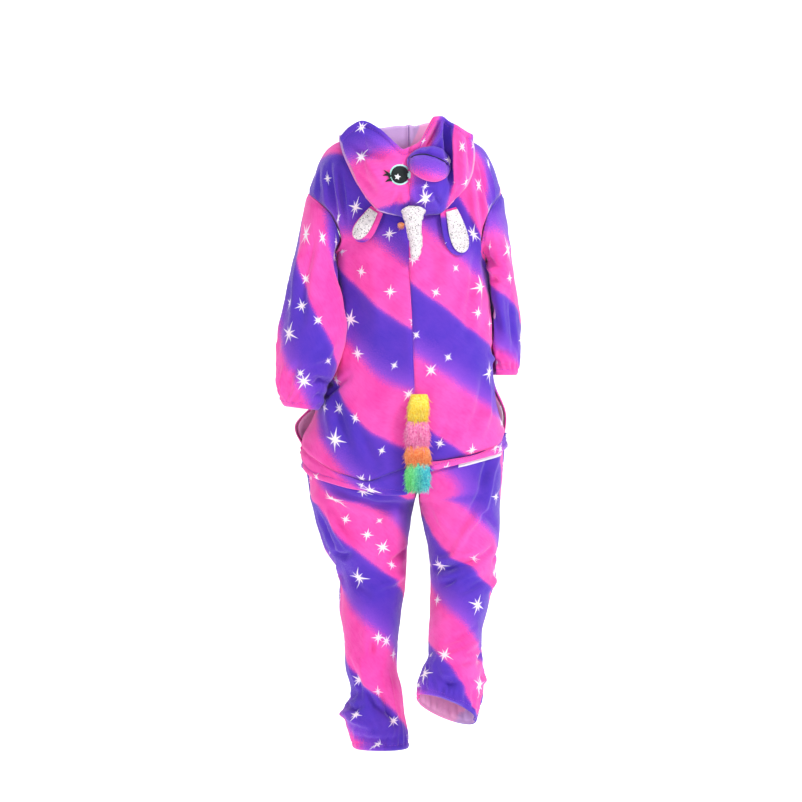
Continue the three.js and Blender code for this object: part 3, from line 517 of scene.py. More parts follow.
# ---- creases: where each lies on the worn cloth ----
# face: the side of the garment that it is seen from. rise: how far the ridge stands out, or
# the trough sinks when negative. wide: half its width. Then its course as (across, z) pairs;
# across is x on the back and front, and y on the left and right.
CREASES = [
    # left shoulder, below the hood
    ("back", -5.0, 9, (190, -45), (188, -90), (184, -128)),
    ("back", 4.0, 9, (176, -42), (172, -90), (168, -140)),
    ("back", -5.5, 8, (162, -40), (158, -95), (150, -150)),
    ("back", 4.0, 8, (149, -45), (146, -90), (136, -160)),
    ("back", -4.0, 7, (138, -60), (134, -100), (126, -170)),
    # right shoulder
    ("back", -5.0, 8, (-160, -30), (-172, -80), (-180, -130)),
    ("back", 4.0, 8, (-172, -30), (-186, -80), (-194, -120)),
    ("back", -5.0, 9, (-150, -60), (-164, -120), (-176, -180)),
    ("back", 4.5, 9, (-140, -90), (-150, -150), (-168, -215)),
    # back: soft falls from the shoulder blades, and pulls towards the pockets
    ("back", -3.5, 22, (-46, -205), (-56, -260), (-62, -330)),
    ("back", 3.0, 20, (-84, -190), (-92, -260), (-100, -330)),
    ("back", -3.0, 18, (120, -235), (112, -300), (96, -370)),
    ("back", 2.5, 22, (70, -240), (66, -320), (60, -420)),
    ("back", -3.5, 16, (-150, -240), (-146, -310), (-132, -400)),
    ("back", 3.0, 14, (-163, -235), (-160, -320), (-150, -420)),
    ("back", -4.0, 16, (152, -520), (140, -590), (118, -660)),
    ("back", 4.0, 15, (175, -540), (162, -600), (144, -670)),
    ("back", -3.0, 14, (100, -600), (84, -650), (60, -690)),
    ("back", -4.0, 14, (-168, -500), (-160, -560), (-132, -640)),
    ("back", 4.0, 13, (-186, -510), (-182, -570), (-160, -635)),
    ("back", -2.5, 12, (-90, -600), (-70, -640), (-48, -665)),
    # left sleeve: long falls, the elbow, and the blouse over the cuff
    ("back", -4.5, 12, (196, -200), (214, -290), (222, -380)),
    ("back", 4.0, 14, (222, -210), (238, -300), (246, -400)),
    ("back", -4.0, 10, (168, -215), (160, -280), (158, -330)),
    ("back", 4.0, 12, (150, -420), (168, -455), (200, -470)),
    ("back", -6.5, 9, (158, -520), (184, -508), (206, -522)),
    ("back", 5.0, 10, (160, -500), (190, -488), (222, -500)),
    ("back", -4.0, 9, (232, -470), (246, -500), (252, -535)),
    ("back", -4.0, 8, (168, -545), (190, -540), (214, -552)),
    ("back", 3.5, 8, (262, -480), (268, -515), (262, -550)),
    ("left", -5.0, 12, (20, -330), (40, -380), (60, -420)),
    ("left", 4.0, 14, (60, -300), (70, -380), (64, -470)),
    ("left", -4.5, 10, (84, -500), (60, -520), (40, -545)),
    # right sleeve
    ("back", -6.5, 9, (-168, -205), (-180, -240), (-206, -262)),
    ("back", 5.0, 10, (-172, -238), (-190, -268), (-218, -285)),
    ("back", -5.0, 8, (-178, -262), (-196, -290), (-222, -306)),
    ("back", 4.0, 12, (-206, -320), (-214, -380), (-222, -440)),
    ("back", -4.0, 10, (-230, -330), (-238, -390), (-240, -440)),
    ("back", -4.5, 8, (-186, -430), (-206, -446), (-232, -452)),
    ("back", 4.0, 8, (-184, -452), (-210, -466), (-236, -466)),
    ("right", -5.0, 12, (-30, -280), (-44, -330), (-40, -390)),
    ("right", 4.0, 12, (-64, -290), (-72, -350), (-66, -430)),
    # seat and left leg
    ("back", -6.0, 12, (150, -742), (90, -766), (20, -774)),
    ("back", 4.5, 14, (140, -768), (80, -790), (10, -800)),
    ("back", -3.5, 14, (176, -760), (150, -800), (120, -850)),
    ("back", -6.0, 11, (187, -796), (168, -850), (152, -880)),
    ("back", 4.5, 12, (172, -776), (150, -830), (120, -876)),
    ("back", -6.5, 9, (156, -884), (132, -890), (116, -876)),
    ("back", 5.0, 10, (146, -905), (142, -935), (134, -965)),
    ("back", -3.5, 12, (120, -930), (100, -960), (70, -985)),
    ("back", -3.0, 16, (60, -830), (50, -900), (44, -960)),
    ("back", 3.0, 16, (90, -1000), (84, -1060), (86, -1120)),
    ("back", -4.5, 10, (120, -1120), (104, -1160), (96, -1200)),
    ("back", 4.5, 10, (100, -1120), (84, -1170), (60, -1212)),
    ("back", -6.5, 9, (84, -1180), (66, -1215), (30, -1240)),
    ("back", -5.5, 8, (60, -1170), (44, -1210), (22, -1262)),
    ("back", 5.0, 8, (36, -1150), (30, -1200), (18, -1250)),
    ("back", -7.0, 9, (134, -1216), (116, -1226), (96, -1218)),
    ("back", 6.0, 11, (136, -1240), (112, -1250), (80, -1262)),
    ("back", -4.0, 9, (110, -1285), (70, -1294), (20, -1290)),
    ("left", -5.0, 12, (20, -800), (10, -860), (20, -900)),
    ("left", 4.0, 14, (-30, -860), (-40, -960), (-20, -1060)),
    ("left", -6.0, 9, (44, -1190), (10, -1212), (-30, -1205)),
    ("left", 5.0, 10, (46, -1230), (0, -1246), (-44, -1236)),
    # right leg: the drag from the hip, the crumple behind the knee, the calf
    ("back", 6.0, 11, (-205, -672), (-184, -722), (-164, -786), (-134, -830), (-100, -898)),
    ("back", -5.5, 12, (-186, -668), (-168, -720), (-146, -780), (-118, -826)),
    ("back", -6.0, 11, (-200, -830), (-176, -800), (-150, -796)),
    ("back", 4.0, 12, (-60, -780), (-84, -820), (-112, -850)),
    ("back", -9.0, 9, (-66, -914), (-94, -912), (-146, -900), (-188, -872)),
    ("back", 6.5, 10, (-76, -896), (-110, -888), (-150, -878)),
    ("back", 6.0, 11, (-76, -934), (-112, -934), (-160, -918)),
    ("back", -6.5, 8, (-84, -946), (-104, -938), (-124, -926)),
    ("back", -4.0, 9, (-120, -962), (-150, -950), (-180, -936)),
    ("back", -4.5, 9, (-80, -1070), (-116, -1056), (-150, -1036)),
    ("back", 4.5, 9, (-90, -1092), (-126, -1082), (-158, -1064)),
    ("back", -5.5, 8, (-92, -1112), (-130, -1108), (-164, -1094)),
    ("back", 5.0, 9, (-50, -1100), (-90, -1128), (-140, -1130)),
    ("back", -7.0, 9, (-44, -1118), (-96, -1152), (-160, -1146)),
    ("back", 5.5, 10, (-44, -1150), (-96, -1182), (-150, -1192)),
    ("back", -4.0, 8, (-60, -1182), (-96, -1204), (-134, -1216)),
    ("right", -7.0, 10, (70, -905), (40, -890), (0, -880)),
    ("right", 5.0, 12, (90, -960), (50, -945), (10, -930)),
    ("right", -6.0, 9, (170, -1110), (130, -1100), (90, -1080)),
    ("right", 5.0, 10, (190, -1150), (140, -1150), (100, -1130)),
    # front, finished plainly
    ("front", -4.0, 14, (-60, -240), (-50, -330), (-44, -420)),
    ("front", 3.0, 16, (60, -220), (66, -320), (60, -440)),
    ("front", -4.0, 14, (120, -230), (110, -300), (96, -360)),
    ("front", -4.0, 14, (-130, -230), (-120, -300), (-110, -380)),
    ("front", -5.0, 12, (70, -700), (40, -740), (0, -770)),
    ("front", -5.0, 12, (-90, -690), (-60, -735), (-30, -765)),
    ("front", 4.0, 14, (100, -800), (80, -880), (76, -960)),
    ("front", -4.0, 12, (-150, -800), (-120, -860), (-110, -930)),
    ("front", -6.0, 10, (110, -990), (70, -1004), (30, -990)),
    ("front", 5.0, 11, (110, -1016), (70, -1028), (30, -1014)),
    ("front", -6.0, 9, (120, -1200), (70, -1216), (20, -1205)),
    ("front", 5.0, 11, (120, -1236), (70, -1250), (20, -1240)),
    ("front", -6.0, 10, (-70, -960), (-110, -972), (-160, -956)),
    ("front", 5.0, 11, (-70, -990), (-110, -1000), (-160, -984)),
]
# The hood's own creases, on its back: the fan of lobes up to the peak and the fold beside it.
HOOD_CREASES = [
    ("back", 6.0, 9, (-28, -8), (-50, 22), (-72, 56)),
    ("back", -7.0, 7, (-40, -12), (-60, 20), (-76, 58)),
    ("back", 6.0, 8, (-54, -10), (-72, 20), (-80, 56)),
    ("back", -10.0, 9, (-86, 58), (-90, 10), (-94, -40), (-100, -84)),
    ("back", 7.0, 12, (-112, 40), (-124, -10), (-122, -70), (-112, -120)),
    ("back", -4.5, 9, (-134, 20), (-142, -30), (-134, -90)),
    ("back", -4.0, 8, (11, -104), (20, -126), (27, -152)),
    ("back", -4.0, 8, (-55, -100), (-66, -118), (-78, -136)),
    ("back", 4.0, 16, (112, 36), (70, 6), (24, -20)),
    ("back", -5.0, 15, (124, 4), (84, -20), (40, -34)),
    ("back", -4.0, 14, (112, -50), (84, -84), (58, -110)),
    ("back", 4.0, 14, (92, -30), (66, -62), (46, -92)),
    ("back", -4.0, 10, (0, -100), (-30, -104), (-60, -96)),
    ("back", 4.0, 10, (10, -122), (-30, -126), (-66, -112)),
]

CREASE_DEPTH = 1.8
FACES = {"back": (1, 1), "front": (1, -1), "left": (0, 1), "right": (0, -1)}


def outward_normals(points, outward, around=False):
    across = np.gradient(points, axis=1)
    along = np.gradient(points, axis=0)
    if around:
        across[:, 0] = across[:, -1] = points[:, 1] - points[:, -2]
    normals = np.cross(across, along) * outward
    return normals / np.maximum(np.linalg.norm(normals, axis=2, keepdims=True), 1e-9)


def arcs(points, axis):
    """Distance along the cloth from the first row or column."""
    steps = np.linalg.norm(np.diff(points, axis=axis), axis=2)
    start = np.zeros_like(np.take(steps, [0], axis=axis))
    return np.concatenate([start, np.cumsum(steps, axis=axis)], axis=axis)


def crease_move(points, normals, creases):
    """How far each point moves out, for all the creases together."""
    flat = points.reshape(-1, 3)
    facing = normals.reshape(-1, 3)
    move = np.zeros(len(flat))
    for face, rise, wide, *course in creases:
        axis, sign = FACES[face]
        other = 1 - axis
        seen = facing[:, axis] * sign > 0.02
        if not seen.any():
            continue
        path = []
        nearest = []
        for across, z in course:
            gap = (flat[:, other] - across) ** 2 + (flat[:, 2] - z) ** 2 + np.where(seen, 0, 1e7)
            found = gap.argmin()
            path.append(flat[found])
            nearest.append(gap[found])
        if min(nearest) > (2 * wide) ** 2:
            continue
        lengths = [np.linalg.norm(b - a) for a, b in zip(path, path[1:])]
        total = max(sum(lengths), 1e-6)
        best = np.full(len(flat), 1e9)
        place = np.zeros(len(flat))
        run = 0.0
        for a, b, length in zip(path, path[1:], lengths):
            if length < 1e-6:
                continue
            t = clamp((flat - a) @ (b - a) / length**2, 0, 1)
            distance = np.linalg.norm(flat - (a + t[:, None] * (b - a)), axis=1)
            closer = distance < best
            best = np.where(closer, distance, best)
            place = np.where(closer, (run + t * length) / total, place)
            run += length
        share = best / wide
        fade = np.sin(math.pi * clamp(place, 0.03, 0.97)) ** 0.5
        move += CREASE_DEPTH * rise * fade * (1 - 0.85 * share**2) * np.exp(-(share**2))
    return move.reshape(points.shape[:2])


def drift(points, size, seed):
    """A slow unevenness, about -1 to 1, that repeats nowhere near."""
    chance = np.random.default_rng(seed)
    total = np.zeros(points.shape[:-1])
    for _ in range(8):
        way = chance.normal(size=3)
        way /= np.linalg.norm(way)
        turn = points @ way * (2 * math.pi / (size * chance.uniform(0.7, 1.6)))
        total += np.sin(turn + chance.uniform(0, 2 * math.pi))
    return total / 3


SEAM_DEEP, SEAM_WIDE = 2.6, 4.5
HEM_RISE, HEM_WIDE, HEM_DIP = 1.6, 13, 1.3


def edge_move(points, edges):
    """Seams sink, hems stand out as far as their row of stitches, gathers pucker."""
    across, along = arcs(points, 1), arcs(points, 0)
    reach = {
        "u0": across,
        "u1": across[:, -1:] - across,
        "v0": along,
        "v1": along[-1:, :] - along,
    }
    move = np.zeros(points.shape[:2])
    for edge, kind in edges.items():
        d = reach[edge]
        if kind == "seam":
            move += -SEAM_DEEP * np.exp(-((d / SEAM_WIDE) ** 2))
            move += 0.9 * np.exp(-(((d - 11) / 6) ** 2))
        if kind in ("hem", "gather"):
            move += HEM_RISE * (1 - ease(d, HEM_WIDE - 5, HEM_WIDE + 1))
            move += -HEM_DIP * np.exp(-(((d - HEM_WIDE) / 2.5) ** 2))
            move += -1.2 * np.exp(-((d / 2) ** 2))
        if kind == "gather":
            pucker = np.sin(across * (2 * math.pi / 17) + 1.8 * drift(points, 70, 5))
            pucker += 0.6 * np.sin(across * (2 * math.pi / 29) + 2.5 * drift(points, 110, 9))
            near = np.exp(-(np.maximum(d - HEM_WIDE, 0) / 34)) * ease(d, 4, HEM_WIDE + 6)
            move += 2.6 * pucker * near
    return move


def shaped(points, outward, edges, creases=(), around=False, uneven=1.0):
    """The bare form given its seams, hems, creases and small unevenness."""
    normals = outward_normals(points, outward, around)
    move = crease_move(points, normals, creases)
    move += uneven * (1.3 * drift(points, 95, 1) + 0.5 * drift(points, 34, 2))
    across, along = arcs(points, 1), arcs(points, 0)
    edge = np.minimum(along, along[-1:, :] - along)
    if not around:
        edge = np.minimum(edge, np.minimum(across, across[:, -1:] - across))
    move *= 0.35 + 0.65 * ease(edge, 0, 16)
    return points + normals * (move + edge_move(points, edges))[..., None]


# ---- where each piece is cut from the printed cloth ----
# The print runs in bands: along the band is the cloth's x, across it is y, in metres.
BAND_REPEAT = 0.221


def lay_on_print(points, half, turn, shift, start=0.0, level_at=None):
    """Cloth coordinates of a panel, from lengths along it; turn is the bands' slope."""
    column = int(round(start * (points.shape[1] - 1)))
    across = arcs(points, 1)
    across = half * (across - across[:, column : column + 1]) + points[:, column, 0][:, None]
    steps = np.linalg.norm(np.diff(points, axis=0), axis=2).mean(axis=1)
    rise = np.concatenate([[0], np.cumsum(steps)])
    if points[-1, :, 2].mean() < points[0, :, 2].mean():
        rise = -rise
    heights = points[:, column, 2]
    row = 0 if level_at is None else int(np.abs(heights - level_at).argmin())
    along = (rise - rise[row] + heights[row])[:, None] + 0 * across
    a = math.radians(turn)
    x = across * math.cos(a) + along * math.sin(a)
    y = along * math.cos(a) - across * math.sin(a) + shift
    return np.stack([x, y], axis=-1) * MM


def grid_faces(rows, columns, around, outward):
    """Quads of a grid, and the grid place of each of their corners."""
    width = columns - 1 if around else columns
    j, i = np.meshgrid(np.arange(rows - 1), np.arange(columns - 1), indexing="ij")
    corners = [(j, i), (j, i + 1), (j + 1, i + 1), (j + 1, i)]
    if outward < 0:
        corners.reverse()
    faces = np.stack([a * width + (b % width if around else b) for a, b in corners], axis=-1)
    places = np.stack([a * columns + b for a, b in corners], axis=-1)
    return faces.reshape(-1, 4), places.reshape(-1)


def mesh_piece(name, vertices, faces, materials, uv=None, smooth=True):
    mesh = bpy.data.meshes.new(name)
    mesh.from_pydata((np.asarray(vertices) * MM).tolist(), [], [list(map(int, f)) for f in faces])
    if uv is not None:
        layer = mesh.uv_layers.new(name="cloth")
        layer.data.foreach_set("uv", np.asarray(uv, np.float32).ravel())
    for material in materials:
        mesh.materials.append(material)
    mesh.polygons.foreach_set("use_smooth", [smooth] * len(mesh.polygons))
    piece = bpy.data.objects.new(name, mesh)
    bpy.context.scene.collection.objects.link(piece)
    return piece


def cloth_piece(name, points, outward, lay, materials, around=False, thickness=CLOTH):
    rows, columns = points.shape[:2]
    faces, places = grid_faces(rows, columns, around, outward)
    kept = points[:, :-1] if around else points
    piece = mesh_piece(name, kept.reshape(-1, 3), faces, materials, lay.reshape(-1, 2)[places])
    wall = piece.modifiers.new("wall", "SOLIDIFY")
    wall.thickness = thickness * MM
    wall.offset = -1
    wall.use_rim = True
    wall.material_offset = 1 if len(materials) > 1 else 0
    return piece


def across_and_along(across, along):
    return np.meshgrid(np.linspace(0, 1, across + 1), np.linspace(0, 1, along + 1))


# ---- camera, light and stage ----
VIEW = {"x": 0.009, "z": -0.552, "from_z": -0.42, "away": 5.5, "tall": 1.764}
camera_data = bpy.data.cameras.new("camera")
camera_data.sensor_width = 36
camera_data.lens = 36 * VIEW["away"] / VIEW["tall"]
camera_data.clip_end = 60
camera = bpy.data.objects.new("camera", camera_data)
bpy.context.scene.collection.objects.link(camera)
camera.location = (VIEW["x"], VIEW["away"], VIEW["from_z"])
looking = Vector((VIEW["x"], 0.08, VIEW["z"])) - camera.location
camera.rotation_euler = looking.to_track_quat("-Z", "Y").to_euler()
bpy.context.scene.camera = camera

LIGHTS = [
    # name, place, power, size
    ("key", (-3.0, 2.4, 2.0), 130, 1.0),
    ("fill", (3.2, 3.6, 0.2), 30, 2.6),
    ("top", (0.3, 0.4, 3.2), 52, 1.6),
    ("front_soft", (1.4, -4.2, 1.2), 24, 2.4),
]
for name, place, power, size in LIGHTS:
    data = bpy.data.lights.new(name, "AREA")
    data.energy = power
    data.size = size
    lamp = bpy.data.objects.new(name, data)
    lamp.visible_camera = False
    lamp.location = place
    aim = Vector((0, 0, -0.6)) - Vector(place)
    lamp.rotation_euler = aim.to_track_quat("-Z", "Y").to_euler()
    bpy.context.scene.collection.objects.link(lamp)
world = bpy.data.worlds.new("studio")
world.use_nodes = True
world.node_tree.nodes["Background"].inputs["Color"].default_value = (1, 1, 1, 1)
world.node_tree.nodes["Background"].inputs["Strength"].default_value = 0.42
bpy.context.scene.world = world
bpy.context.scene.view_settings.view_transform = "Standard"


# ---- finishes: shader maths written as sums ----
class Value:
    """A socket with a number or colour in it, usable in Python sums."""

    def __init__(self, finish, socket):
        self.finish = finish
        self.socket = socket

    def math(self, operation, *others):
        return self.finish.node(
            "ShaderNodeMath", {"operation": operation}, dict(enumerate((self, *others)))
        )

    def __add__(self, other):
        return self.math("ADD", other)

    def __sub__(self, other):
        return self.math("SUBTRACT", other)

    def __rsub__(self, other):
        return self.finish.node("ShaderNodeMath", {"operation": "SUBTRACT"}, {0: other, 1: self})

    def __mul__(self, other):
        return self.math("MULTIPLY", other)

    def __truediv__(self, other):
        return self.math("DIVIDE", other)

    __radd__ = __add__
    __rmul__ = __mul__

    def clamped(self):
        return self.math("MINIMUM", 1.0).math("MAXIMUM", 0.0)

    def between(self, low, high):
        """0 below low, 1 above high, smooth between."""
        return self.finish.node(
            "ShaderNodeMapRange",
            {"interpolation_type": "SMOOTHSTEP"},
            {"Value": self, "From Min": low, "From Max": high},
        )


class Finish:
    """A material being made, ending in one Principled shader."""

    def __init__(self, name, fixed):
        self.material = bpy.data.materials.new(name)
        self.material.use_nodes = True
        self.tree = self.material.node_tree
        self.shader = self.tree.nodes["Principled BSDF"]
        for socket, value in fixed.items():
            self.shader.inputs[socket].default_value = value

    def node(self, kind, settings, sockets, output=0):
        made = self.tree.nodes.new(kind)
        for key, value in settings.items():
            setattr(made, key, value)
        for key, value in sockets.items():
            if isinstance(value, Value):
                self.tree.links.new(value.socket, made.inputs[key])
            else:
                made.inputs[key].default_value = value
        return Value(self, made.outputs[output])

    def part(self, value, output):
        """Another output of the node behind a value."""
        return Value(self, value.socket.node.outputs[output])

    def blend(self, factor, first, second):
        mixed = self.tree.nodes.new("ShaderNodeMix")
        mixed.data_type = "RGBA"
        ends = [("Factor", "VALUE", factor), ("A", "RGBA", first), ("B", "RGBA", second)]
        for key, kind, value in ends:
            socket = next(s for s in mixed.inputs if s.name == key and s.type == kind)
            if isinstance(value, Value):
                self.tree.links.new(value.socket, socket)
            else:
                socket.default_value = value if kind == "VALUE" else (*value, 1.0)
        return Value(self, next(s for s in mixed.outputs if s.type == "RGBA"))

    def noise(self, where, scale, detail=3.0, roughness=0.5):
        return self.node(
            "ShaderNodeTexNoise",
            {},
            {"Vector": where, "Scale": scale, "Detail": detail, "Roughness": roughness},
        )

    def object_place(self):
        return self.node("ShaderNodeTexCoord", {}, {}, "Object")

    def cloth_place(self):
        return self.node("ShaderNodeUVMap", {"uv_map": "cloth"}, {})

    def axes(self, where):
        split = self.node("ShaderNodeSeparateXYZ", {}, {"Vector": where})
        return split, self.part(split, 1), self.part(split, 2)

    def stretched(self, where, scale):
        return self.node("ShaderNodeMapping", {}, {"Vector": where, "Scale": scale})

    def give(self, socket, value):
        self.tree.links.new(value.socket, self.shader.inputs[socket])

    def relief(self, height, strength, distance):
        bumped = self.node(
            "ShaderNodeBump", {}, {"Height": height, "Strength": strength, "Distance": distance}
        )
        self.give("Normal", bumped)


def linear(red, green, blue):
    """Screen colour, 0 to 255, as light."""
    shares = (red / 255, green / 255, blue / 255)
    return tuple(c / 12.92 if c <= 0.04045 else ((c + 0.055) / 1.055) ** 2.4 for c in shares)


HOT_PINK = linear(255, 92, 190)
DEEP_PINK = linear(238, 40, 150)
BLUE_VIOLET = linear(66, 48, 186)
VIOLET = linear(146, 78, 214)
STAR_WHITE = linear(255, 240, 252)
VIOLET_SHARE = 0.585          # of the repeat; the rest is pink


def rays(a, b, slim):
    """Four straight tapering rays along two axes; slim is a ray's width at its root."""
    return (1 - a.math("MAXIMUM", b) - a.math("MINIMUM", b) / slim).between(0.0, 0.08)


# each size of star: how far apart, where its net starts, its longest ray, the share of the
# net's cells that hold one, and how slim its rays are; lengths in metres
BIG_STARS = {"spacing": 0.128, "seed": 3.1, "longest": 0.031, "kept": 0.62, "slim": 0.115}
SMALL_STARS = {"spacing": 0.084, "seed": 8.7, "longest": 0.019, "kept": 0.55, "slim": 0.14}
SHORT_RAYS = 0.68
SLANT = math.sqrt(0.5)


def sparkles(finish, where, spacing, seed, longest, kept, slim):
    """Eight-rayed stars, one to a cell of a loose net: four long rays and four short."""
    place = {"Vector": where, "Location": (seed, seed * 0.7, 0)}
    moved = finish.node("ShaderNodeMapping", {}, place)
    cell = finish.node(
        "ShaderNodeTexVoronoi",
        {"voronoi_dimensions": "2D", "feature": "F1"},
        {"Vector": moved, "Scale": 1 / spacing, "Randomness": 0.7},
    )
    chance, chance_size, _ = finish.axes(finish.part(cell, "Color"))
    offset = finish.node(
        "ShaderNodeVectorMath",
        {"operation": "SUBTRACT"},
        {0: moved, 1: finish.part(cell, "Position")},
    )
    leant = finish.node(
        "ShaderNodeVectorRotate",
        {"rotation_type": "Z_AXIS"},
        {"Vector": offset, "Angle": chance_size * 0.9 - 0.1},
    )
    a, b, _ = finish.axes(leant)
    size = (chance_size * 0.4 + 0.6) * longest
    a, b = a.math("ABSOLUTE") / size, b.math("ABSOLUTE") / size
    slant, other = (a + b) * SLANT, (a - b).math("ABSOLUTE") * SLANT
    short_rays = rays(slant / SHORT_RAYS, other / SHORT_RAYS, slim * 1.1)
    star = rays(a, b, slim).math("MAXIMUM", short_rays)
    glow = (a * a + b * b).between(0.3, 0.0) * 0.2
    present = chance.between(1 - kept - 0.001, 1 - kept + 0.001)
    return star * present, glow * present


def printed_plush(name, reverse=False):
    finish = Finish(
        name,
        {
            "Roughness": 0.92,
            "Specular IOR Level": 0.12,
            "Sheen Weight": 0.35,
            "Sheen Roughness": 0.45,
            "Sheen Tint": (1.0, 0.82, 1.0, 1.0),
        },
    )
    where = finish.cloth_place()
    body = finish.object_place()
    _, across, _ = finish.axes(where)
    grain = finish.noise(where, 900, 2.0, 0.7)
    waver = finish.noise(where, 9, 2.0)
    band = ((across + (waver - 0.5) * 0.012) / BAND_REPEAT).math("FRACT")
    dots = finish.noise(where, 420, 3.0, 0.8)
    speckle = (dots - 0.5) * 0.9
    lower = (band + speckle * 0.4).between(0.0, 0.12)
    upper = 1 - (band + speckle * 0.12).between(VIOLET_SHARE - 0.035, VIOLET_SHARE + 0.012)
    violet = lower * upper
    depth = (band + speckle * 0.5).between(0.03, 0.3) * (1 - band.between(0.5, VIOLET_SHARE) * 0.4)
    cloudy = finish.noise(body, 14, 3.0, 0.6)
    brushed = finish.noise(finish.stretched(where, (60, 200, 60)), 1, 4.0, 0.6)
    shade = (cloudy.between(0.35, 0.7) * 0.45 + brushed.between(0.4, 0.75) * 0.25).clamped()
    pink = finish.blend(shade, HOT_PINK, DEEP_PINK)
    deep = finish.blend(depth * (0.75 + 0.25 * shade), VIOLET, BLUE_VIOLET)
    dyed = finish.blend(violet, pink, deep)
    big, big_glow = sparkles(finish, where, **BIG_STARS)
    small, small_glow = sparkles(finish, where, **SMALL_STARS)
    star = big.math("MAXIMUM", small)
    glow = big_glow.math("MAXIMUM", small_glow)
    dyed = finish.blend(glow, dyed, STAR_WHITE)
    dyed = finish.blend((star * (0.86 + 0.3 * grain)).clamped(), dyed, STAR_WHITE)
    pile = finish.noise(where, 1500, 2.0, 0.8)
    # painted shade: where the pile noise is low, where the relief below sinks between the tufts, the colour
    # is darkened a little towards deep purple
    dyed = finish.blend((1 - pile).between(0.42, 0.75) * 0.16, dyed, linear(60, 10, 90))
    if reverse:
        dyed = finish.blend(0.62, dyed, linear(246, 206, 240))
    finish.give("Base Color", dyed)
    tufts = pile * 0.6 + grain * 0.5 + brushed * 0.8
    finish.relief(tufts, 0.55, 0.0016)
    finish.give("Roughness", 0.84 + 0.12 * grain)
    return finish.material


PLUSH = printed_plush("printed plush")
REVERSE = printed_plush("plush wrong side", reverse=True)


def glitter_cloth():
    """White cloth with flakes: most pale, some painted near black in the base colour as painted shade,
    standing in for flakes that tip away from the light.
    """
    finish = Finish("glitter cloth", {"Roughness": 0.4, "Specular IOR Level": 0.7})
    where = finish.object_place()
    flake = finish.node("ShaderNodeTexVoronoi", {}, {"Vector": where, "Scale": 330.0})
    chance, tone, _ = finish.axes(finish.part(flake, "Color"))
    patch = finish.noise(where, 55, 2.0)
    middle = 1 - finish.part(flake, "Distance").between(0.3, 0.42)
    # painted shade: the flakes chosen here are painted near black in their middles, standing in for flakes
    # tipped away from the light
    painted_flake_shade = (chance + (patch - 0.5) * 0.5).between(0.62, 0.66) * middle
    pale = finish.blend(tone, linear(238, 232, 232), linear(204, 198, 204))
    colour = finish.blend(painted_flake_shade, pale, finish.blend(tone, linear(20, 20, 24), linear(120, 118, 124)))
    finish.give("Base Color", colour)
    finish.give("Metallic", (chance * 0.5).clamped())
    finish.give("Roughness", 0.25 + 0.4 * tone)
    finish.relief(tone + finish.noise(where, 300) * 0.5, 0.5, 0.0008)
    return finish.material


def long_fur(name, root, tip, far_tip=None):
    """Fur whose hairs differ a little; far_tip is the colour to the wearer's right."""
    finish = Finish(name, {"Roughness": 0.75, "Sheen Weight": 0.2, "Specular IOR Level": 0.2})
    where = finish.object_place()
    hairs = finish.noise(where, 260, 2.0, 0.7)
    locks = finish.noise(where, 70, 2.0)
    colour = finish.blend(hairs.between(0.3, 0.7), root, tip)
    if far_tip:
        x, _, _ = finish.axes(where)
        far = finish.blend(hairs.between(0.3, 0.7), linear(40, 170, 200), far_tip)
        colour = finish.blend((x * -1).between(0.008, 0.045), colour, far)
    colour = finish.blend(locks.between(0.55, 0.8) * 0.3, colour, linear(255, 250, 240))
    finish.give("Base Color", colour)
    finish.relief(hairs, 0.3, 0.001)
    return finish.material


FUR = {
    "yellow": long_fur("yellow fur", linear(244, 200, 30), linear(255, 238, 110)),
    "pink": long_fur("pink fur", linear(232, 104, 170), linear(255, 166, 210)),
    "orange": long_fur("orange fur", linear(240, 124, 66), linear(255, 176, 116)),
    "green": long_fur("green fur", linear(80, 214, 120), linear(150, 244, 160), linear(110, 240, 236)),
}


def plain_cloth(name, colour, second, weave, roughness=0.85):
    finish = Finish(name, {"Specular IOR Level": 0.25, "Sheen Weight": 0.1})
    where = finish.object_place()
    fine = finish.noise(where, weave, 2.0, 0.6)
    finish.give("Base Color", finish.blend(fine.between(0.3, 0.7), colour, second))
    finish.give("Roughness", roughness + 0.1 * fine)
    finish.relief(fine, 0.35, 0.0004)
    return finish.material


GLITTER = glitter_cloth()
BLACK = plain_cloth("black applique", linear(12, 20, 22), linear(30, 40, 42), 1500, 0.6)
MINT = plain_cloth("mint thread", linear(150, 228, 222), linear(220, 250, 246), 1800, 0.6)
WHITE_THREAD = plain_cloth("white thread", linear(246, 244, 250), linear(226, 224, 236), 1600)
ACCENT = plain_cloth("rose thread", linear(236, 50, 130), linear(250, 90, 160), 1600)
TAPE = plain_cloth("cotton tape", linear(248, 244, 252), linear(224, 216, 236), 2200)
SEAM_THREAD = plain_cloth("violet thread", linear(120, 60, 190), linear(160, 90, 220), 1800)
BUTTON = plain_cloth("satin button", linear(96, 66, 196), linear(110, 80, 212), 700, 0.3)


# ---- the plush panels ----
# Where each is cut from the print: the bands' slope, and the shift across them.
LAY = {
    "back_left": (36.5, 439),
    "back_right": (36.5, 355),
    "front_left": (-36.5, 60),
    "front_right": (-36.5, 160),
    "seat_left": (39.6, 918),
    "seat_right": (42.0, 672),
    "sleeve_left": (62.0, 248),
    "sleeve_right": (30.0, 300),
    "band_left": (36.5, 439),
    "band_right": (36.5, 445),
    "collar_left": (20.0, 0),
    "collar_right": (20.0, 90),
}
HOOD_LAY = {"turn": -14.0, "shift": 22, "widen": 0.95}     # the hood's left half
SIDES = {"left": LEFT, "right": RIGHT}
SEAT_FROM = -836          # where the seat panels widen from the legs
SASH = {"from": 95, "to": 103, "rise": 13}     # the fold of the hood that laps over an eye
PANES = {
    # how many steps across and along each panel is worked in
    "front": (58, 250),
    "back": (64, 150),
    "band": (64, 14),
    "seat": (58, 150),
    "sleeve": (104, 96),
    "hood": (52, 190),
    "collar": (70, 8),
    "ear": (28, 44),
    "pocket": (44, 36),
    "tape": (60, 4),
    "placket": (12, 150),
}
FRONT_YOKE, BACK_YOKE = 0.22, 0.4          # share of a panel's length that lies above the underarm
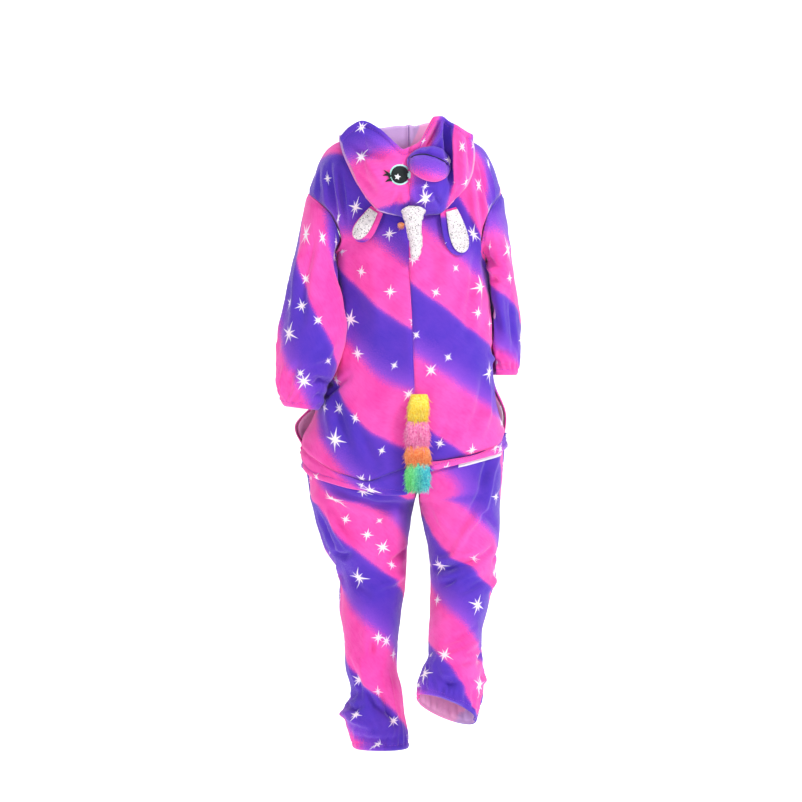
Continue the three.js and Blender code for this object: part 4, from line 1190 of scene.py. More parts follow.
SEAT_LEG = {LEFT: 0.78, RIGHT: 0.74}       # share of a seat panel that lies below SEAT_FROM
plush = {}
outer = {}


def plush_panel(name, points, outward, edges, creases=CREASES, lay=None, **options):
    around = options.get("around", False)
    points = shaped(points, outward, edges, creases, around, options.get("uneven", 1.0))
    if lay is None:
        half = SIDES[name.split("_")[1]]
        turn, shift = LAY[name]
        start, level_at = options.get("start", 0.0), options.get("level_at")
        lay = lay_on_print(points, half, turn, shift, start, level_at)
    materials = options.get("materials", (PLUSH, REVERSE))
    plush[name] = cloth_piece(f"{name}_plush", points, outward, lay, materials, around)
    outer[name] = (points, outward, around)
    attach(plush[name], BODY)
    return plush[name]


for side, half in SIDES.items():
    # front: hem to shoulder in one length
    hem = TRUNK[half]["z"][-1]
    u, v = across_and_along(*PANES["front"])
    yoke = FRONT_YOKE
    legs = front_point(half, u, mix(hem, UNDERARM, clamp(v / (1 - yoke), 0, 1)))
    top = yoke_point(half, FRONT, u, clamp((v - 1 + yoke) / yoke, 0, 1))
    points = np.where((v > 1 - yoke)[..., None], top, legs)
    edges = {"u0": "seam", "u1": "seam", "v0": "gather", "v1": "seam"}
    front = plush_panel(f"front_{side}", points, half, edges, level_at=UNDERARM)
    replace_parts(front, f"front_{side}")

    # back: the band's seam to the shoulder
    u, v = across_and_along(*PANES["back"])
    yoke = BACK_YOKE
    seam = level(BAND, back_point(half, u, np.full_like(u, FREE_FROM))[..., 0])["seam"] + GAP
    low = back_point(half, u, mix(seam, UNDERARM, clamp(v / (1 - yoke), 0, 1)))
    top = yoke_point(half, BACK, u, clamp((v - 1 + yoke) / yoke, 0, 1))
    points = np.where((v > 1 - yoke)[..., None], top, low)
    edges = {"u0": "seam", "u1": "seam", "v0": "seam", "v1": "seam"}
    back = plush_panel(f"back_{side}", points, -half, edges, level_at=UNDERARM)
    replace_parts(back, f"back_{side}")

    # the doubled band along its lower edge
    u, v = across_and_along(*PANES["band"])
    row = level(BAND, back_point(half, u, np.full_like(u, FREE_FROM))[..., 0])
    points = back_point(half, u, mix(row["hem"], row["seam"] - 2 * GAP, v))
    points[..., 1] += 3.5 * np.sin(v * math.pi) * np.cos(u * math.pi / 2)
    edges = {"v0": "hem", "v1": "seam"}
    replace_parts(plush_panel(f"band_{side}", points, -half, edges, uneven=0.6), f"band_{side}")

    # seat and back of the leg
    u, v = across_and_along(*PANES["seat"])
    leg = SEAT_LEG[half]
    across = mix(-26, half * 216, u)
    top = level(BAND, across)["hem"] + TUCK
    upper = mix(SEAT_FROM, top, clamp((v - leg) / (1 - leg), 0, 1))
    inset = 4.5 * ease(upper, top - 2.4 * TUCK, top - 1.4 * TUCK)
    points = np.where(
        (v < leg)[..., None],
        trunk_point(half, BACK, u, mix(hem, SEAT_FROM, clamp(v / leg, 0, 1))),
        trunk_point(half, BACK, u, upper, inset),
    )
    edges = {"u0": "seam", "u1": "seam", "v0": "gather"}
    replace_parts(plush_panel(f"seat_{side}", points, -half, edges, level_at=SEAT_FROM), f"seat_{side}")

    # sleeve, and the pucker over its cuff
    u, v = across_and_along(*PANES["sleeve"])
    points = sleeve_point(half, u, v)
    edges = {"v0": "seam", "v1": "gather"}
    sleeve = plush_panel(f"sleeve_{side}", points, half, edges, around=True, start=0.25)
    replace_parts(sleeve, f"sleeve_{side}")

    # the hood's half: rim, bag and nape
    u, v = across_and_along(*PANES["hood"])
    points = hood_point(half, u, v)
    x, z = points[..., 0], points[..., 2]
    if half == LEFT:
        a = math.radians(HOOD_LAY["turn"])
        band = (z * math.cos(a) - x * math.sin(a) + HOOD_LAY["shift"]) * HOOD_LAY["widen"]
        lay = np.stack([x, band], axis=-1) * MM
    else:                                  # this half's bands stand up, and narrow to the peak
        lean = x + 87 + 0.25 * (z - 50)
        band = -lean * mix(1.3, 3.0, ease(z, -90, 50)) + 64
        lay = np.stack([z, band], axis=-1) * MM
    if half == RIGHT:
        lap = ease(-x, SASH["from"], SASH["to"]) * ease(z, -125, -95) * (1 - ease(z, 26, 50))
        points[..., 1] += np.where(v < NEAR_SHARE, SASH["rise"] * lap, 0)
    edges = {"u0": "seam", "u1": "seam", "v0": "hem"}
    hood = plush_panel(f"hood_{side}", points, half, edges, HOOD_CREASES, lay)
    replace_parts(hood, f"hood_{side}")
    u, v = across_and_along(*PANES["collar"])
    points = neck_band_point(half, u, v)
    plush_panel(f"collar_{side}", points, half, {"v1": "hem"}, (), uneven=0.4)


# ---- what lies on the plush ----
def tree_of(*names):
    vertices, faces = [], []
    for name in names:
        points, outward, around = outer[name]
        made, _ = grid_faces(*points.shape[:2], False, outward)
        faces += (made + len(vertices)).tolist()
        vertices += points.reshape(-1, 3).tolist()
    return BVHTree.FromPolygons(vertices, faces)


HOOD_TREE = tree_of("hood_left", "hood_right")
BACK_TREE = tree_of("back_left", "back_right", "band_left", "band_right")
SEAT_TREE = tree_of("seat_left", "seat_right")


def lies_on(tree, x, z, fallback):
    """How far back the outermost cloth is at x and z."""
    x, z = np.broadcast_arrays(np.asarray(x, float), np.asarray(z, float))
    found = np.zeros(x.shape)
    for place in np.ndindex(x.shape):
        hit = tree.ray_cast(Vector((x[place], 900, z[place])), Vector((0, -1, 0)))[0]
        found[place] = hit.y if hit else fallback
    return found


def on_hood(x, z):
    return lies_on(HOOD_TREE, x, z, 150)


def ride_as(piece, slot, *nodes):
    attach(piece, BODY)
    if nodes:
        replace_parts(piece, *nodes)
    return piece


def closed_rings(name, rings, first, last, materials, uv=None):
    """A closed solid from rings of points, with a point at each end."""
    count, sides = rings.shape[:2]
    vertices = [first, *rings.reshape(-1, 3), last]
    faces = []
    for i in range(sides):
        n = (i + 1) % sides
        faces.append((0, 1 + n, 1 + i))
        for j in range(count - 1):
            a, b = 1 + j * sides, 1 + (j + 1) * sides
            faces.append((a + i, a + n, b + n, b + i))
        end = 1 + (count - 1) * sides
        faces.append((len(vertices) - 1, end + i, end + n))
    piece = mesh_piece(name, vertices, faces, materials)
    shell = bmesh.new()
    shell.from_mesh(piece.data)
    bmesh.ops.recalc_face_normals(shell, faces=shell.faces)
    shell.to_mesh(piece.data)
    shell.free()
    if uv:
        layer = piece.data.uv_layers.new(name="cloth")
        for loop in piece.data.loops:
            x, y, z = piece.data.vertices[loop.vertex_index].co
            layer.data[loop.index].uv = uv(x, y, z)
    return piece


def end_middles(rings):
    return rings[0].mean(axis=0), rings[-1].mean(axis=0)


def tube(name, path, radius, material, sides=8):
    """A round tube along a path; the radius may change along it."""
    path = np.asarray(path, float)
    ahead = np.gradient(path, axis=0)
    ahead /= np.linalg.norm(ahead, axis=1, keepdims=True)
    side = np.cross(ahead, (0.1, 0.9, 0.2))
    side /= np.linalg.norm(side, axis=1, keepdims=True)
    up = np.cross(ahead, side)
    turn = full_turn(sides)
    radius = np.broadcast_to(radius, (len(path),))
    ring = side[:, None] * np.cos(turn)[None, :, None] + up[:, None] * np.sin(turn)[None, :, None]
    rings = path[:, None] + ring * radius[:, None, None]
    first, last = path[0] - ahead[0] * radius[0], path[-1] + ahead[-1] * radius[-1]
    return closed_rings(name, rings, first, last, [material])


def smooth_path(corners, count):
    """A curve through the given points, evenly divided."""
    corners = np.asarray(corners, float)
    keys = np.arange(len(corners), dtype=float)
    rows = {"key": keys, "x": corners[:, 0], "y": corners[:, 1], "z": corners[:, 2]}
    at = level(rows, np.linspace(0, keys[-1], count))
    return stack(at["x"], at["y"], at["z"])


UNDER_SASH = -12.5


def patch(name, outline, centre, lift, material, thickness=0.8, dome=0.0, rings=6):
    """A flat applique on the hood: rings from its outline in to its centre."""
    outline = np.asarray(outline, float)
    centre = np.asarray(centre, float)
    vertices = []
    for j in range(rings):
        share = 1 - j / rings
        flat = centre + (outline - centre) * share
        y = on_hood(flat[:, 0], flat[:, 1]) + lift + dome * (1 - share**2)
        vertices += stack(flat[:, 0], y, flat[:, 1]).tolist()
    count = len(outline)
    middle = float(on_hood(centre[0], centre[1])) + lift + dome
    vertices.append([centre[0], middle, centre[1]])
    faces = []
    for i in range(count):
        n = (i + 1) % count
        for j in range(rings - 1):
            faces.append((j * count + i, j * count + n, (j + 1) * count + n, (j + 1) * count + i))
        faces.append(((rings - 1) * count + i, (rings - 1) * count + n, len(vertices) - 1))
    piece = mesh_piece(name, vertices, faces, [material])
    shell = bmesh.new()
    shell.from_mesh(piece.data)
    if sum(face.normal.y for face in shell.faces) < 0:
        bmesh.ops.reverse_faces(shell, faces=shell.faces)
    shell.to_mesh(piece.data)
    shell.free()
    wall = piece.modifiers.new("thickness", "SOLIDIFY")
    wall.thickness = thickness * MM
    wall.offset = -1
    return piece


def round_outline(x, z, wide, tall, count=48):
    turn = full_turn(count)
    return np.stack([x + wide * np.cos(turn), z + tall * np.sin(turn)], axis=-1)


def star_outline(x, z, reach, points=5, inner=0.45, tilt=0.2):
    turn = full_turn(2 * points) + tilt + math.pi / 2
    radius = np.where(np.arange(2 * points) % 2 == 0, reach, reach * inner)
    corners = np.stack([x + radius * np.cos(turn), z + radius * np.sin(turn)], axis=-1)
    return np.concatenate([[a, (a + b) / 2] for a, b in zip(corners, np.roll(corners, -1, axis=0))])


def lash_outline(root, tip, wide, bend):
    """A lash from root to tip, bowed to one side."""
    root, tip = np.asarray(root, float), np.asarray(tip, float)
    t = np.linspace(0, 1, 9)
    along = tip - root
    side = np.array([-along[1], along[0]]) / np.linalg.norm(along)
    spine = root + along * t[:, None] + side * (bend * np.sin(t * math.pi))[:, None]
    half = side * (wide * (1 - t) ** 0.7 / 2 + 0.15)[:, None]
    return np.concatenate([spine + half, (spine - half)[::-1]])


# ---- eyes ----
EYES = {
    # x, z, half width, half height, way to its lashes, and how far it stands off the hood
    "eye_left": (11, -68, 22.5, 22.5, 1, 0),
    "eye_right": (-124, -62, 12.0, 23.0, -1, UNDER_SASH),
}
LASHES = [((24, -6), (35, 10)), ((24, -1), (37, -2)), ((21, -11), (31, -16))]
for name, (x, z, wide, tall, way, off) in EYES.items():
    ring = patch(f"{name}_ring", round_outline(x, z, wide, tall), (x, z), off + 1.3, MINT, 1.0)
    ride_as(ring, "black_applique")
    pupil = round_outline(x, z, wide * 0.85, tall * 0.85)
    pupil = patch(f"{name}_pupil", pupil, (x, z), off + 2.2, BLACK, 1.2, dome=0.8)
    ride_as(pupil, "black_applique", name)
    spot = (x + 5.5 * way * wide / 22.5, z - 5)
    star = star_outline(*spot, 7.5)
    star = patch(f"{name}_star", star, spot, off + 3.8, WHITE_THREAD, 0.8, rings=3)
    ride_as(star, "tape")
    if off:
        continue                       # what the fold hides has no lashes
    for i, (root, tip) in enumerate(LASHES):
        squeeze = wide / 22.5
        start = (x + way * root[0] * squeeze * 0.86, z + root[1])
        end = (x + way * tip[0] * squeeze, z + tip[1])
        lash = lash_outline(start, end, 7.0, 1.5 * way)
        middle = (np.asarray(start) * 0.62 + np.asarray(end) * 0.38)
        lash = patch(f"{name}_lash_{i + 1}", lash, middle, 1.6, BLACK, 0.9, rings=3)
        ride_as(lash, "black_applique")
    blush = lash_outline((x + way * 23 * squeeze, z + 8), (x + way * 33 * squeeze, z + 4), 5.0, 1.0)
    middle = (x + way * 27 * squeeze, z + 6.5)
    ride_as(patch(f"{name}_accent", blush, middle, 1.0, ACCENT, 0.7, rings=3), "black_applique")

# ---- snout: a stuffed muzzle, split by its mouth line ----
SNOUT = {"x": -51, "z": -44, "wide": 48, "tall": 38, "deep": 30, "tilt": 8, "swell": 0.45}
MOUTH = table("x z", (-94, -50), (-88, -43), (-75, -36), (-57, -29), (-38, -25), (-22, -27), (-8, -34))


def snout_point(turn, share, out):
    wide = SNOUT["wide"] * np.cos(turn)
    tall = SNOUT["tall"] * np.sin(turn) * (1 - 0.16 * np.cos(turn))
    a = math.radians(SNOUT["tilt"])
    x = SNOUT["x"] + share * (wide * math.cos(a) - tall * math.sin(a))
    z = SNOUT["z"] + share * (wide * math.sin(a) + tall * math.cos(a))
    rise = SNOUT["deep"] * np.maximum(0, 1 - share**2) ** SNOUT["swell"]
    split = np.abs(z - level(MOUTH, x)["z"])
    rise = rise * (1 - 0.3 * np.exp(-((split / 5.5) ** 2)))
    base = on_hood(x, z) + 2.4
    return stack(x, np.where(out, base + 0.6 + rise, base), z)


shares = np.concatenate([np.linspace(0.12, 1, 9), 1.02 - np.geomspace(0.02, 0.96, 22)])
outs = np.array([False] * 9 + [True] * 22)
turn, share = np.meshgrid(full_turn(64), np.clip(shares, 0, 1))
_, out = np.meshgrid(np.arange(64), outs)
rings = snout_point(turn, share, out)
rings[..., 1] += np.where(out, 0.7 * drift(rings, 26, 3) * share, 0)
centre = (SNOUT["x"], SNOUT["z"])
first = (centre[0], float(on_hood(*centre)) + 2.4, centre[1])
last = rings[-1].mean(axis=0)


def snout_lay(x, y, z):
    return (x, z + 0.08 - 0.2 * (x + 0.05))


snout = closed_rings("snout_plush", rings, first, last, [PLUSH], snout_lay)
ride_as(snout, "plush", "snout")


def on_snout(x, z):
    share = np.hypot((x - SNOUT["x"]) / SNOUT["wide"], (z - SNOUT["z"]) / SNOUT["tall"])
    rise = SNOUT["deep"] * np.maximum(0, 1 - share**2) ** SNOUT["swell"]
    return on_hood(x, z) + 3.0 + 0.7 * rise


mouth = level(MOUTH, np.linspace(-90, -12, 60))
line = stack(mouth["x"], on_snout(mouth["x"], mouth["z"]) + 0.9, mouth["z"])
ride_as(tube("mouth_cord", line, 1.35, BLACK), "black_applique", "mouth")

# ---- ears ----
EARS = {
    "ear_left": {"x": 60, "z": -140, "tip_x": 104, "tip_z": -206, "wide": 24, "shift": 8,
                 "print_shift": 110},
    "ear_right": {"x": -92, "z": -139, "tip_x": -122, "tip_z": -236, "wide": 29, "shift": -8,
                  "print_shift": 60},
}
for name, ear in EARS.items():
    u, v = across_and_along(*PANES["ear"])
    points = leaf_point(ear, v, 2 * u - 1, ear["wide"], 5)
    curl = 4 * (2 * u - 1) ** 2 * np.sin(v * math.pi)
    points[..., 1] += curl + 0.8 * drift(points, 40, 7)
    flat = np.stack([points[..., 0], points[..., 2] + ear["print_shift"]], axis=-1) * MM
    leaf = cloth_piece(f"{name}_plush", points, -1, flat, (PLUSH,), thickness=3.0)
    ride_as(leaf, "plush", f"{name}_outer")
    inner = dict(ear, x=ear["x"] + ear["shift"], tip_x=ear["tip_x"] + ear["shift"] * 0.4)
    inner.update(z=ear["z"] - 2, tip_z=ear["tip_z"] + 5)
    points = leaf_point(inner, v, 2 * u - 1, ear["wide"] * 0.7, 11.5)
    points[..., 1] += 2.5 * (2 * u - 1) ** 2 * np.sin(v * math.pi) + 0.7 * drift(points, 26, 8)
    points[..., 1] += 1.3 * np.sin(v * math.pi) * np.cos((2 * u - 1) * math.pi / 2)
    leaf = cloth_piece(f"{name}_glitter", points, -1, flat, (GLITTER,), thickness=1.5)
    ride_as(leaf, "glitter", f"{name}_inner")

# ---- horn: limp, lumpy at its root ----
HORN = table(
    "along x z radius",
    (0, -18, -140, 16),
    (0.08, -18, -146, 23),
    (0.2, -18, -158, 21),
    (0.34, -18, -172, 18),
    (0.6, -20, -200, 15.5),
    (0.85, -22, -228, 12),
    (1, -22, -244, 8),
)
HORN_TOP_Y = float(on_hood(-18, -128)) + 5
HORN_TIP_Y = float(back_surface(-22.0, -244.0)) + 15
turn, along = np.meshgrid(full_turn(40), np.linspace(0, 1, 70))
row = level(HORN, along)
lobes = 1 + 0.16 * np.cos(2 * turn) * np.exp(-((along / 0.16) ** 2))
twist = 1 - 0.045 * np.maximum(0, np.cos(turn + along * 19)) ** 3 - 0.03 * np.cos(along * 46)
radius = row["radius"] * lobes * twist
middle_y = mix(HORN_TOP_Y, HORN_TIP_Y, along**0.7)
rings = stack(
    row["x"] + radius * np.cos(turn) + 1.5 * np.sin(along * 7),
    middle_y + 0.8 * radius * np.sin(turn),
    row["z"] + 0.35 * radius * np.sin(turn),
)
rings += 0.5 * drift(rings, 22, 4)[..., None]
top, tip = rings[0].mean(axis=0) + (0, 0, 5), rings[-1].mean(axis=0) - (0, 0, 6)
horn = closed_rings("horn_glitter", rings, top, tip, [GLITTER])
ride_as(horn, "glitter", "horn")


# ---- fur: locks of hair standing on a plain core ----
class Recipe:
    """A Geometry Nodes tree being built: named inputs, then nodes joined to one another."""

    def __init__(self, name, start, sizes):
        self.tree = bpy.data.node_groups.new(name, "GeometryNodeTree")
        self.inputs = {}
        self.tree.interface.new_socket(start, in_out="INPUT", socket_type="NodeSocketGeometry")
        for label in sizes:
            self.add_input(label, "NodeSocketFloat")
        self.add_input("Finish", "NodeSocketMaterial")
        self.tree.interface.new_socket("Made", in_out="OUTPUT", socket_type="NodeSocketGeometry")
        self.given = self.tree.nodes.new("NodeGroupInput").outputs

    def add_input(self, label, kind):
        made = self.tree.interface.new_socket(label, in_out="INPUT", socket_type=kind)
        self.inputs[label] = made.identifier

    def node(self, kind, settings, sockets):
        """A node: its settings first, then a value or a link for each socket named."""
        made = self.tree.nodes.new(kind)
        for key, value in settings.items():
            setattr(made, key, value)
        for key, value in sockets.items():
            if isinstance(value, bpy.types.NodeSocket):
                self.tree.links.new(value, made.inputs[key])
            else:
                made.inputs[key].default_value = value
        return made.outputs

    def aimed(self, vector):
        """A rotation that turns up, +Z, to the vector."""
        turned = self.node("FunctionNodeAlignRotationToVector", {"axis": "Z"}, {"Vector": vector})
        return turned["Rotation"]

    def between(self, kind, low, high):
        """A chance value, one to each point."""
        places = ("Min", "Max") if kind == "FLOAT_VECTOR" else (2, 3)
        made = self.node("FunctionNodeRandomValue", {"data_type": kind}, dict(zip(places, (low, high))))
        return made[0] if kind == "FLOAT_VECTOR" else made[1]

    def end(self, geometry):
        real = self.node("GeometryNodeRealizeInstances", {}, {"Geometry": geometry})
        finished = {"Geometry": real["Geometry"], "Material": self.given["Finish"]}
        finished = self.node("GeometryNodeSetMaterial", {}, finished)
        self.node("NodeGroupOutput", {}, {0: finished["Geometry"]})
        return self

    def made_plain(self, piece, material, sizes):
        """The piece with the tree worked out on it, as a plain mesh."""
        modifier = piece.modifiers.new("nodes", "NODES")
        modifier.node_group = self.tree
        for label, value in {**sizes, "Finish": material}.items():
            modifier[self.inputs[label]] = value
        seen = piece.evaluated_get(bpy.context.evaluated_depsgraph_get())
        mesh = bpy.data.meshes.new_from_object(seen)
        piece.modifiers.remove(modifier)
        piece.data = mesh
        return piece


LOCK = {"start": (0, 0, 0), "leaves": (0, 0, 0.45), "arrives": (0.1, 0, 0.8), "tip": (0.34, 0, 1)}
LOCK_TIP_SHARE = 0.12
FUR_SIZES = ("Locks to a square metre", "Lock radius", "Shortest lock", "Longest lock")


def fur_recipe():
    """Hair on every face: bent tapered locks that hang and part a little."""
    hair = Recipe("fur", "Core", FUR_SIZES)
    core = hair.given["Core"]
    points = hair.node(
        "GeometryNodeDistributePointsOnFaces",
        {},
        {"Mesh": core, "Density": hair.given["Locks to a square metre"], "Seed": 11},
    )["Points"]
    lock = hair.node(
        "GeometryNodeCurvePrimitiveBezierSegment",
        {},
        {
            "Resolution": 4,
            "Start": LOCK["start"],
            "Start Handle": LOCK["leaves"],
            "End Handle": LOCK["arrives"],
            "End": LOCK["tip"],
        },
    )["Curve"]
    along = hair.node("GeometryNodeSplineParameter", {}, {})["Factor"]
    taper = {"Value": along, "To Min": 1.0, "To Max": LOCK_TIP_SHARE}
    taper = hair.node("ShaderNodeMapRange", {}, taper)["Result"]
    section = {"Resolution": 3, "Radius": hair.given["Lock radius"]}
    section = hair.node("GeometryNodeCurvePrimitiveCircle", {}, section)["Curve"]
    solid = {"Curve": lock, "Profile Curve": section, "Scale": taper, "Fill Caps": True}
    solid = hair.node("GeometryNodeCurveToMesh", {}, solid)["Mesh"]
    normal = hair.node("GeometryNodeInputNormal", {}, {})["Normal"]
    stray = hair.between("FLOAT_VECTOR", (-0.35, -0.2, -1.25), (0.35, 0.2, -0.75))
    hang = {0: normal, 1: (0.75, 0.75, 0.2), 2: stray}
    hang = hair.node("ShaderNodeVectorMath", {"operation": "MULTIPLY_ADD"}, hang)[0]
    around = hair.between("FLOAT_VECTOR", (0, 0, -3.1), (0, 0, 3.1))
    spin = {"Rotation": hair.aimed(hang), "Rotate By": around}
    spin = hair.node("FunctionNodeRotateRotation", {"rotation_space": "LOCAL"}, spin)["Rotation"]
    scale = hair.between("FLOAT", hair.given["Shortest lock"], hair.given["Longest lock"])
    planted = {"Points": points, "Instance": solid, "Rotation": spin, "Scale": scale}
    planted = hair.node("GeometryNodeInstanceOnPoints", {}, planted)["Instances"]
    joined = hair.node("GeometryNodeJoinGeometry", {}, {"Geometry": core})
    hair.tree.links.new(planted, joined["Geometry"].node.inputs["Geometry"])
    return hair.end(joined["Geometry"])


HAIR = fur_recipe()


def furred(core, material, density, radius, shortest, longest):
    sizes = (density, radius / longest, shortest * MM, longest * MM)
    return HAIR.made_plain(core, material, dict(zip(FUR_SIZES, sizes)))


TAIL = {
    # top, bottom, half width, and the colour
    "tail_yellow": (-536, -590, 20, "yellow"),
    "tail_pink": (-594, -642, 25, "pink"),
    "tail_orange": (-646, -678, 26, "orange"),
    "tail_green": (-682, -730, 25, "green"),
}
TAIL_X = table("z x", (-744, -26), (-690, -27), (-600, -26), (-534, -30))
TAIL_STANDS = 8
TAIL_HAIR = {"density": 190000, "radius": 1.4, "shortest": 11, "longest": 21}
TUFT_HAIR = {"density": 160000, "radius": 0.9, "shortest": 6, "longest": 10}
for name, (top, low, wide, colour) in TAIL.items():
    turn, along = np.meshgrid(full_turn(28), np.linspace(0, 1, 12))
    z = mix(top, low, along)
    x = level(TAIL_X, z)["x"]
    rooted = TAIL_STANDS * (1 - ease(-z, 530, 560))
    base = back_surface(x, np.maximum(z, FREE_FROM)) + APRON + TAIL_STANDS + 6 - rooted
    soft = 0.75 + 0.25 * np.sin(clamp(along, 0.04, 0.96) * math.pi) ** 0.5
    dx = np.sign(np.cos(turn)) * np.abs(np.cos(turn)) ** 0.7
    rings = stack(x + soft * wide * dx, base + soft * 10 * np.sin(turn), z)
    core = closed_rings(f"{name}_fur", rings, *end_middles(rings), [FUR[colour]])
    furred(core, FUR[colour], **TAIL_HAIR)
    ride_as(core, f"fur_{colour}", name)

turn, along = np.meshgrid(full_turn(16), np.linspace(0.1, 1, 6))
wide = 7 * np.sin(along * math.pi * 0.9) + 0.8
rings = stack(9 + wide * np.cos(turn), 0 * turn, -166 - 10 * along)
rings[..., 1] = lies_on(BACK_TREE, rings[..., 0], rings[..., 2], 110) + 6 + 2.5 * np.sin(turn)
core = closed_rings("mane_tuft_fur", rings, *end_middles(rings), [FUR["orange"]])
furred(core, FUR["orange"], **TUFT_HAIR)
ride_as(core, "fur_orange", "mane_tuft")

# ---- seams: the turned-in cloth that closes each join ----


def seam_fill(name, path, lay, radius=2.6, sink=1.6, normals=None):
    """A roll of plush along a seam, just below it, printed as the panel beside it is."""
    path = np.asarray(path, float)
    if normals is not None:
        path = path - normals * sink
    roll = tube(name, path, radius, PLUSH, sides=8)
    layer = roll.data.uv_layers.new(name="cloth")
    count = len(path)
    for loop in roll.data.loops:
        step = min(max((loop.vertex_index - 1) // 8, 0), count - 1)
        layer.data[loop.index].uv = lay[step]
    return ride_as(roll, "plush")


def edge_of(name, edge):
    """A panel's edge: its points, the way out from the cloth, and its place on the print."""
    points, outward, around = outer[name]
    normals = outward_normals(points, outward, around)
    layer = plush[name].data.uv_layers["cloth"].data
    rows, columns = points.shape[:2]
    _, places = grid_faces(rows, columns, around, outward)
    print_places = np.zeros((rows * columns, 2))
    found = np.zeros(len(layer) * 2, np.float32)
    layer.foreach_get("uv", found)
    print_places[places] = found.reshape(-1, 2)
    print_places = print_places.reshape(rows, columns, 2)
    pick = {"u0": np.s_[:, 0], "u1": np.s_[:, -1], "v0": np.s_[0], "v1": np.s_[-1]}[edge]
    return points[pick], normals[pick], print_places[pick]


SEAMS = {
    "seam_centre_back": ("back_left", "u0"),
    "seam_centre_front": ("front_left", "u0"),
    "seam_side_left": ("front_left", "u1"),
    "seam_side_right": ("front_right", "u1"),
    "seam_armhole_left": ("sleeve_left", "v0"),
    "seam_armhole_right": ("sleeve_right", "v0"),
    "seam_inseam_right": ("seat_right", "u0"),
    "seam_back_band_left": ("band_left", "v1"),
    "seam_back_band_right": ("band_right", "v1"),
    "seam_hood": ("hood_left", "u0"),
}
for name, (panel, edge) in SEAMS.items():
    path, normals, lay = edge_of(panel, edge)
    if panel.startswith("front") and edge == "u1":
        half = SIDES[panel.split("_")[1]]
        pocket = POCKETS[half]
        keep = path[:, 2] < pocket["middle"] - pocket["tall"] - 4
        path, normals, lay = path[keep], normals[keep], lay[keep]
    if name == "seam_hood":
        outside = int(NEAR_SHARE * len(path))
        path, normals, lay = path[:outside], normals[:outside], lay[:outside]
    wide = 5.0 if "armhole" in name else 2.4
    seam_fill(name, path, lay, wide, wide * 0.7, normals)

# ---- side pockets ----
for side, half in SIDES.items():
    pocket = POCKETS[half]
    u, v = across_and_along(*PANES["pocket"])
    turn = (u - 0.5) * math.pi
    back = (1 + np.sin(turn)) / 2
    share = 1 - 0.5 * np.maximum(0, np.cos(turn)) ** 0.8
    z = mix(pocket["middle"] - pocket["tall"] - 40, pocket["middle"] + pocket["tall"] - 4, v)
    inset = CLOTH + 6.5 + 4 * back + 26 * np.cos(turn) * back
    points = trunk_point(half, FRONT, share, z, inset)
    mouth = bump(z, pocket["middle"], pocket["tall"]) * share**5 * (1 - back)
    points[..., 0] += half * pocket["gape"] * mouth
    points[..., 1] += pocket["forward"] * mouth - 1.5
    points[..., 1] += 0.8 * drift(points, 60, 6)
    pink_only = np.stack([points[..., 1], 175 + 0 * points[..., 1]], axis=-1) * MM
    linings = (PLUSH, REVERSE)
    bag = cloth_piece(f"pocket_{side}_bag", points, -half, pink_only, linings, thickness=1.5)
    plush[f"pocket_{side}"] = ride_as(bag, "plush_reverse", f"pocket_{side}")

# ---- tape at the edge of the seat opening ----
TAPE_STRIP = {"from": 0.32, "to": 0.86, "tall": 16, "below": 9}
u, v = across_and_along(*PANES["tape"])
share = mix(TAPE_STRIP["from"], TAPE_STRIP["to"], u)
hem = level(BAND, mix(-26, -216, np.sin(share * math.pi / 2)))["hem"]
z = hem - TAPE_STRIP["below"] + TAPE_STRIP["tall"] * v
points = trunk_point(RIGHT, BACK, share, z, 2.3)
points[..., 1] = np.maximum(points[..., 1], lies_on(SEAT_TREE, points[..., 0], z, 0) + 1.4)
points[..., 1] += 0.3 * drift(points, 18, 12)
tape = cloth_piece("seat_tape_strip", points, 1, points[..., :2] * MM, (TAPE,), thickness=0.9)
ride_as(tape, "tape", "seat_tape")

# ---- placket and buttons ----
PLACKET = {"wide": 30, "low": -640, "lift": 2.6}
FRONT_TREE = tree_of("front_left", "front_right")


def on_front(x, z):
    """How far forward the front lies at x and z."""
    x, z = np.broadcast_arrays(np.asarray(x, float), np.asarray(z, float))
    found = np.zeros(x.shape)
    for place in np.ndindex(x.shape):
        hit = FRONT_TREE.ray_cast(Vector((x[place], -900, z[place])), Vector((0, 1, 0)))[0]
        found[place] = hit.y if hit else -80
    return found


def centre_x(z):
    inner = level(TRUNK[LEFT], np.minimum(z, UNDERARM))["inner"]
    return inner * ease(z, NECK_THROAT_Z + 60, UNDERARM)


u, v = across_and_along(*PANES["placket"])
z = mix(PLACKET["low"], NECK_THROAT_Z - 4, v)
x = centre_x(z) + (u - 0.5) * PLACKET["wide"]
ahead = np.minimum(on_front(x - 4, z), on_front(x + 4, z))
points = stack(x, ahead.min(axis=1, keepdims=True) - PLACKET["lift"] - CLOTH, z)
points[..., 1] += 1.2 * np.abs(2 * u - 1) ** 6
lay = np.stack([points[..., 2], points[..., 0] + 70], axis=-1) * MM
placket = cloth_piece("placket_plush", points, 1, lay, (PLUSH, REVERSE))
ride_as(placket, "plush", "placket")
plush["placket"] = placket
placket_front = (points, 1, False)

BUTTONS = {"radius": 9, "thick": 3.5, "count": 8, "first": -92, "pitch": 75, "stand": 2.6}
# from the dished middle over the rim and round to the flat back: (share of radius, of thickness)
BUTTON_PROFILE = [(0.62, 0.3), (0.7, 0.42), (0.84, 0.5), (0.95, 0.42), (1.0, 0.1), (0.97, -0.3), (0.8, -0.5)]
HOLE = {"out": 2.4, "radius": 1.0, "deep": 10}


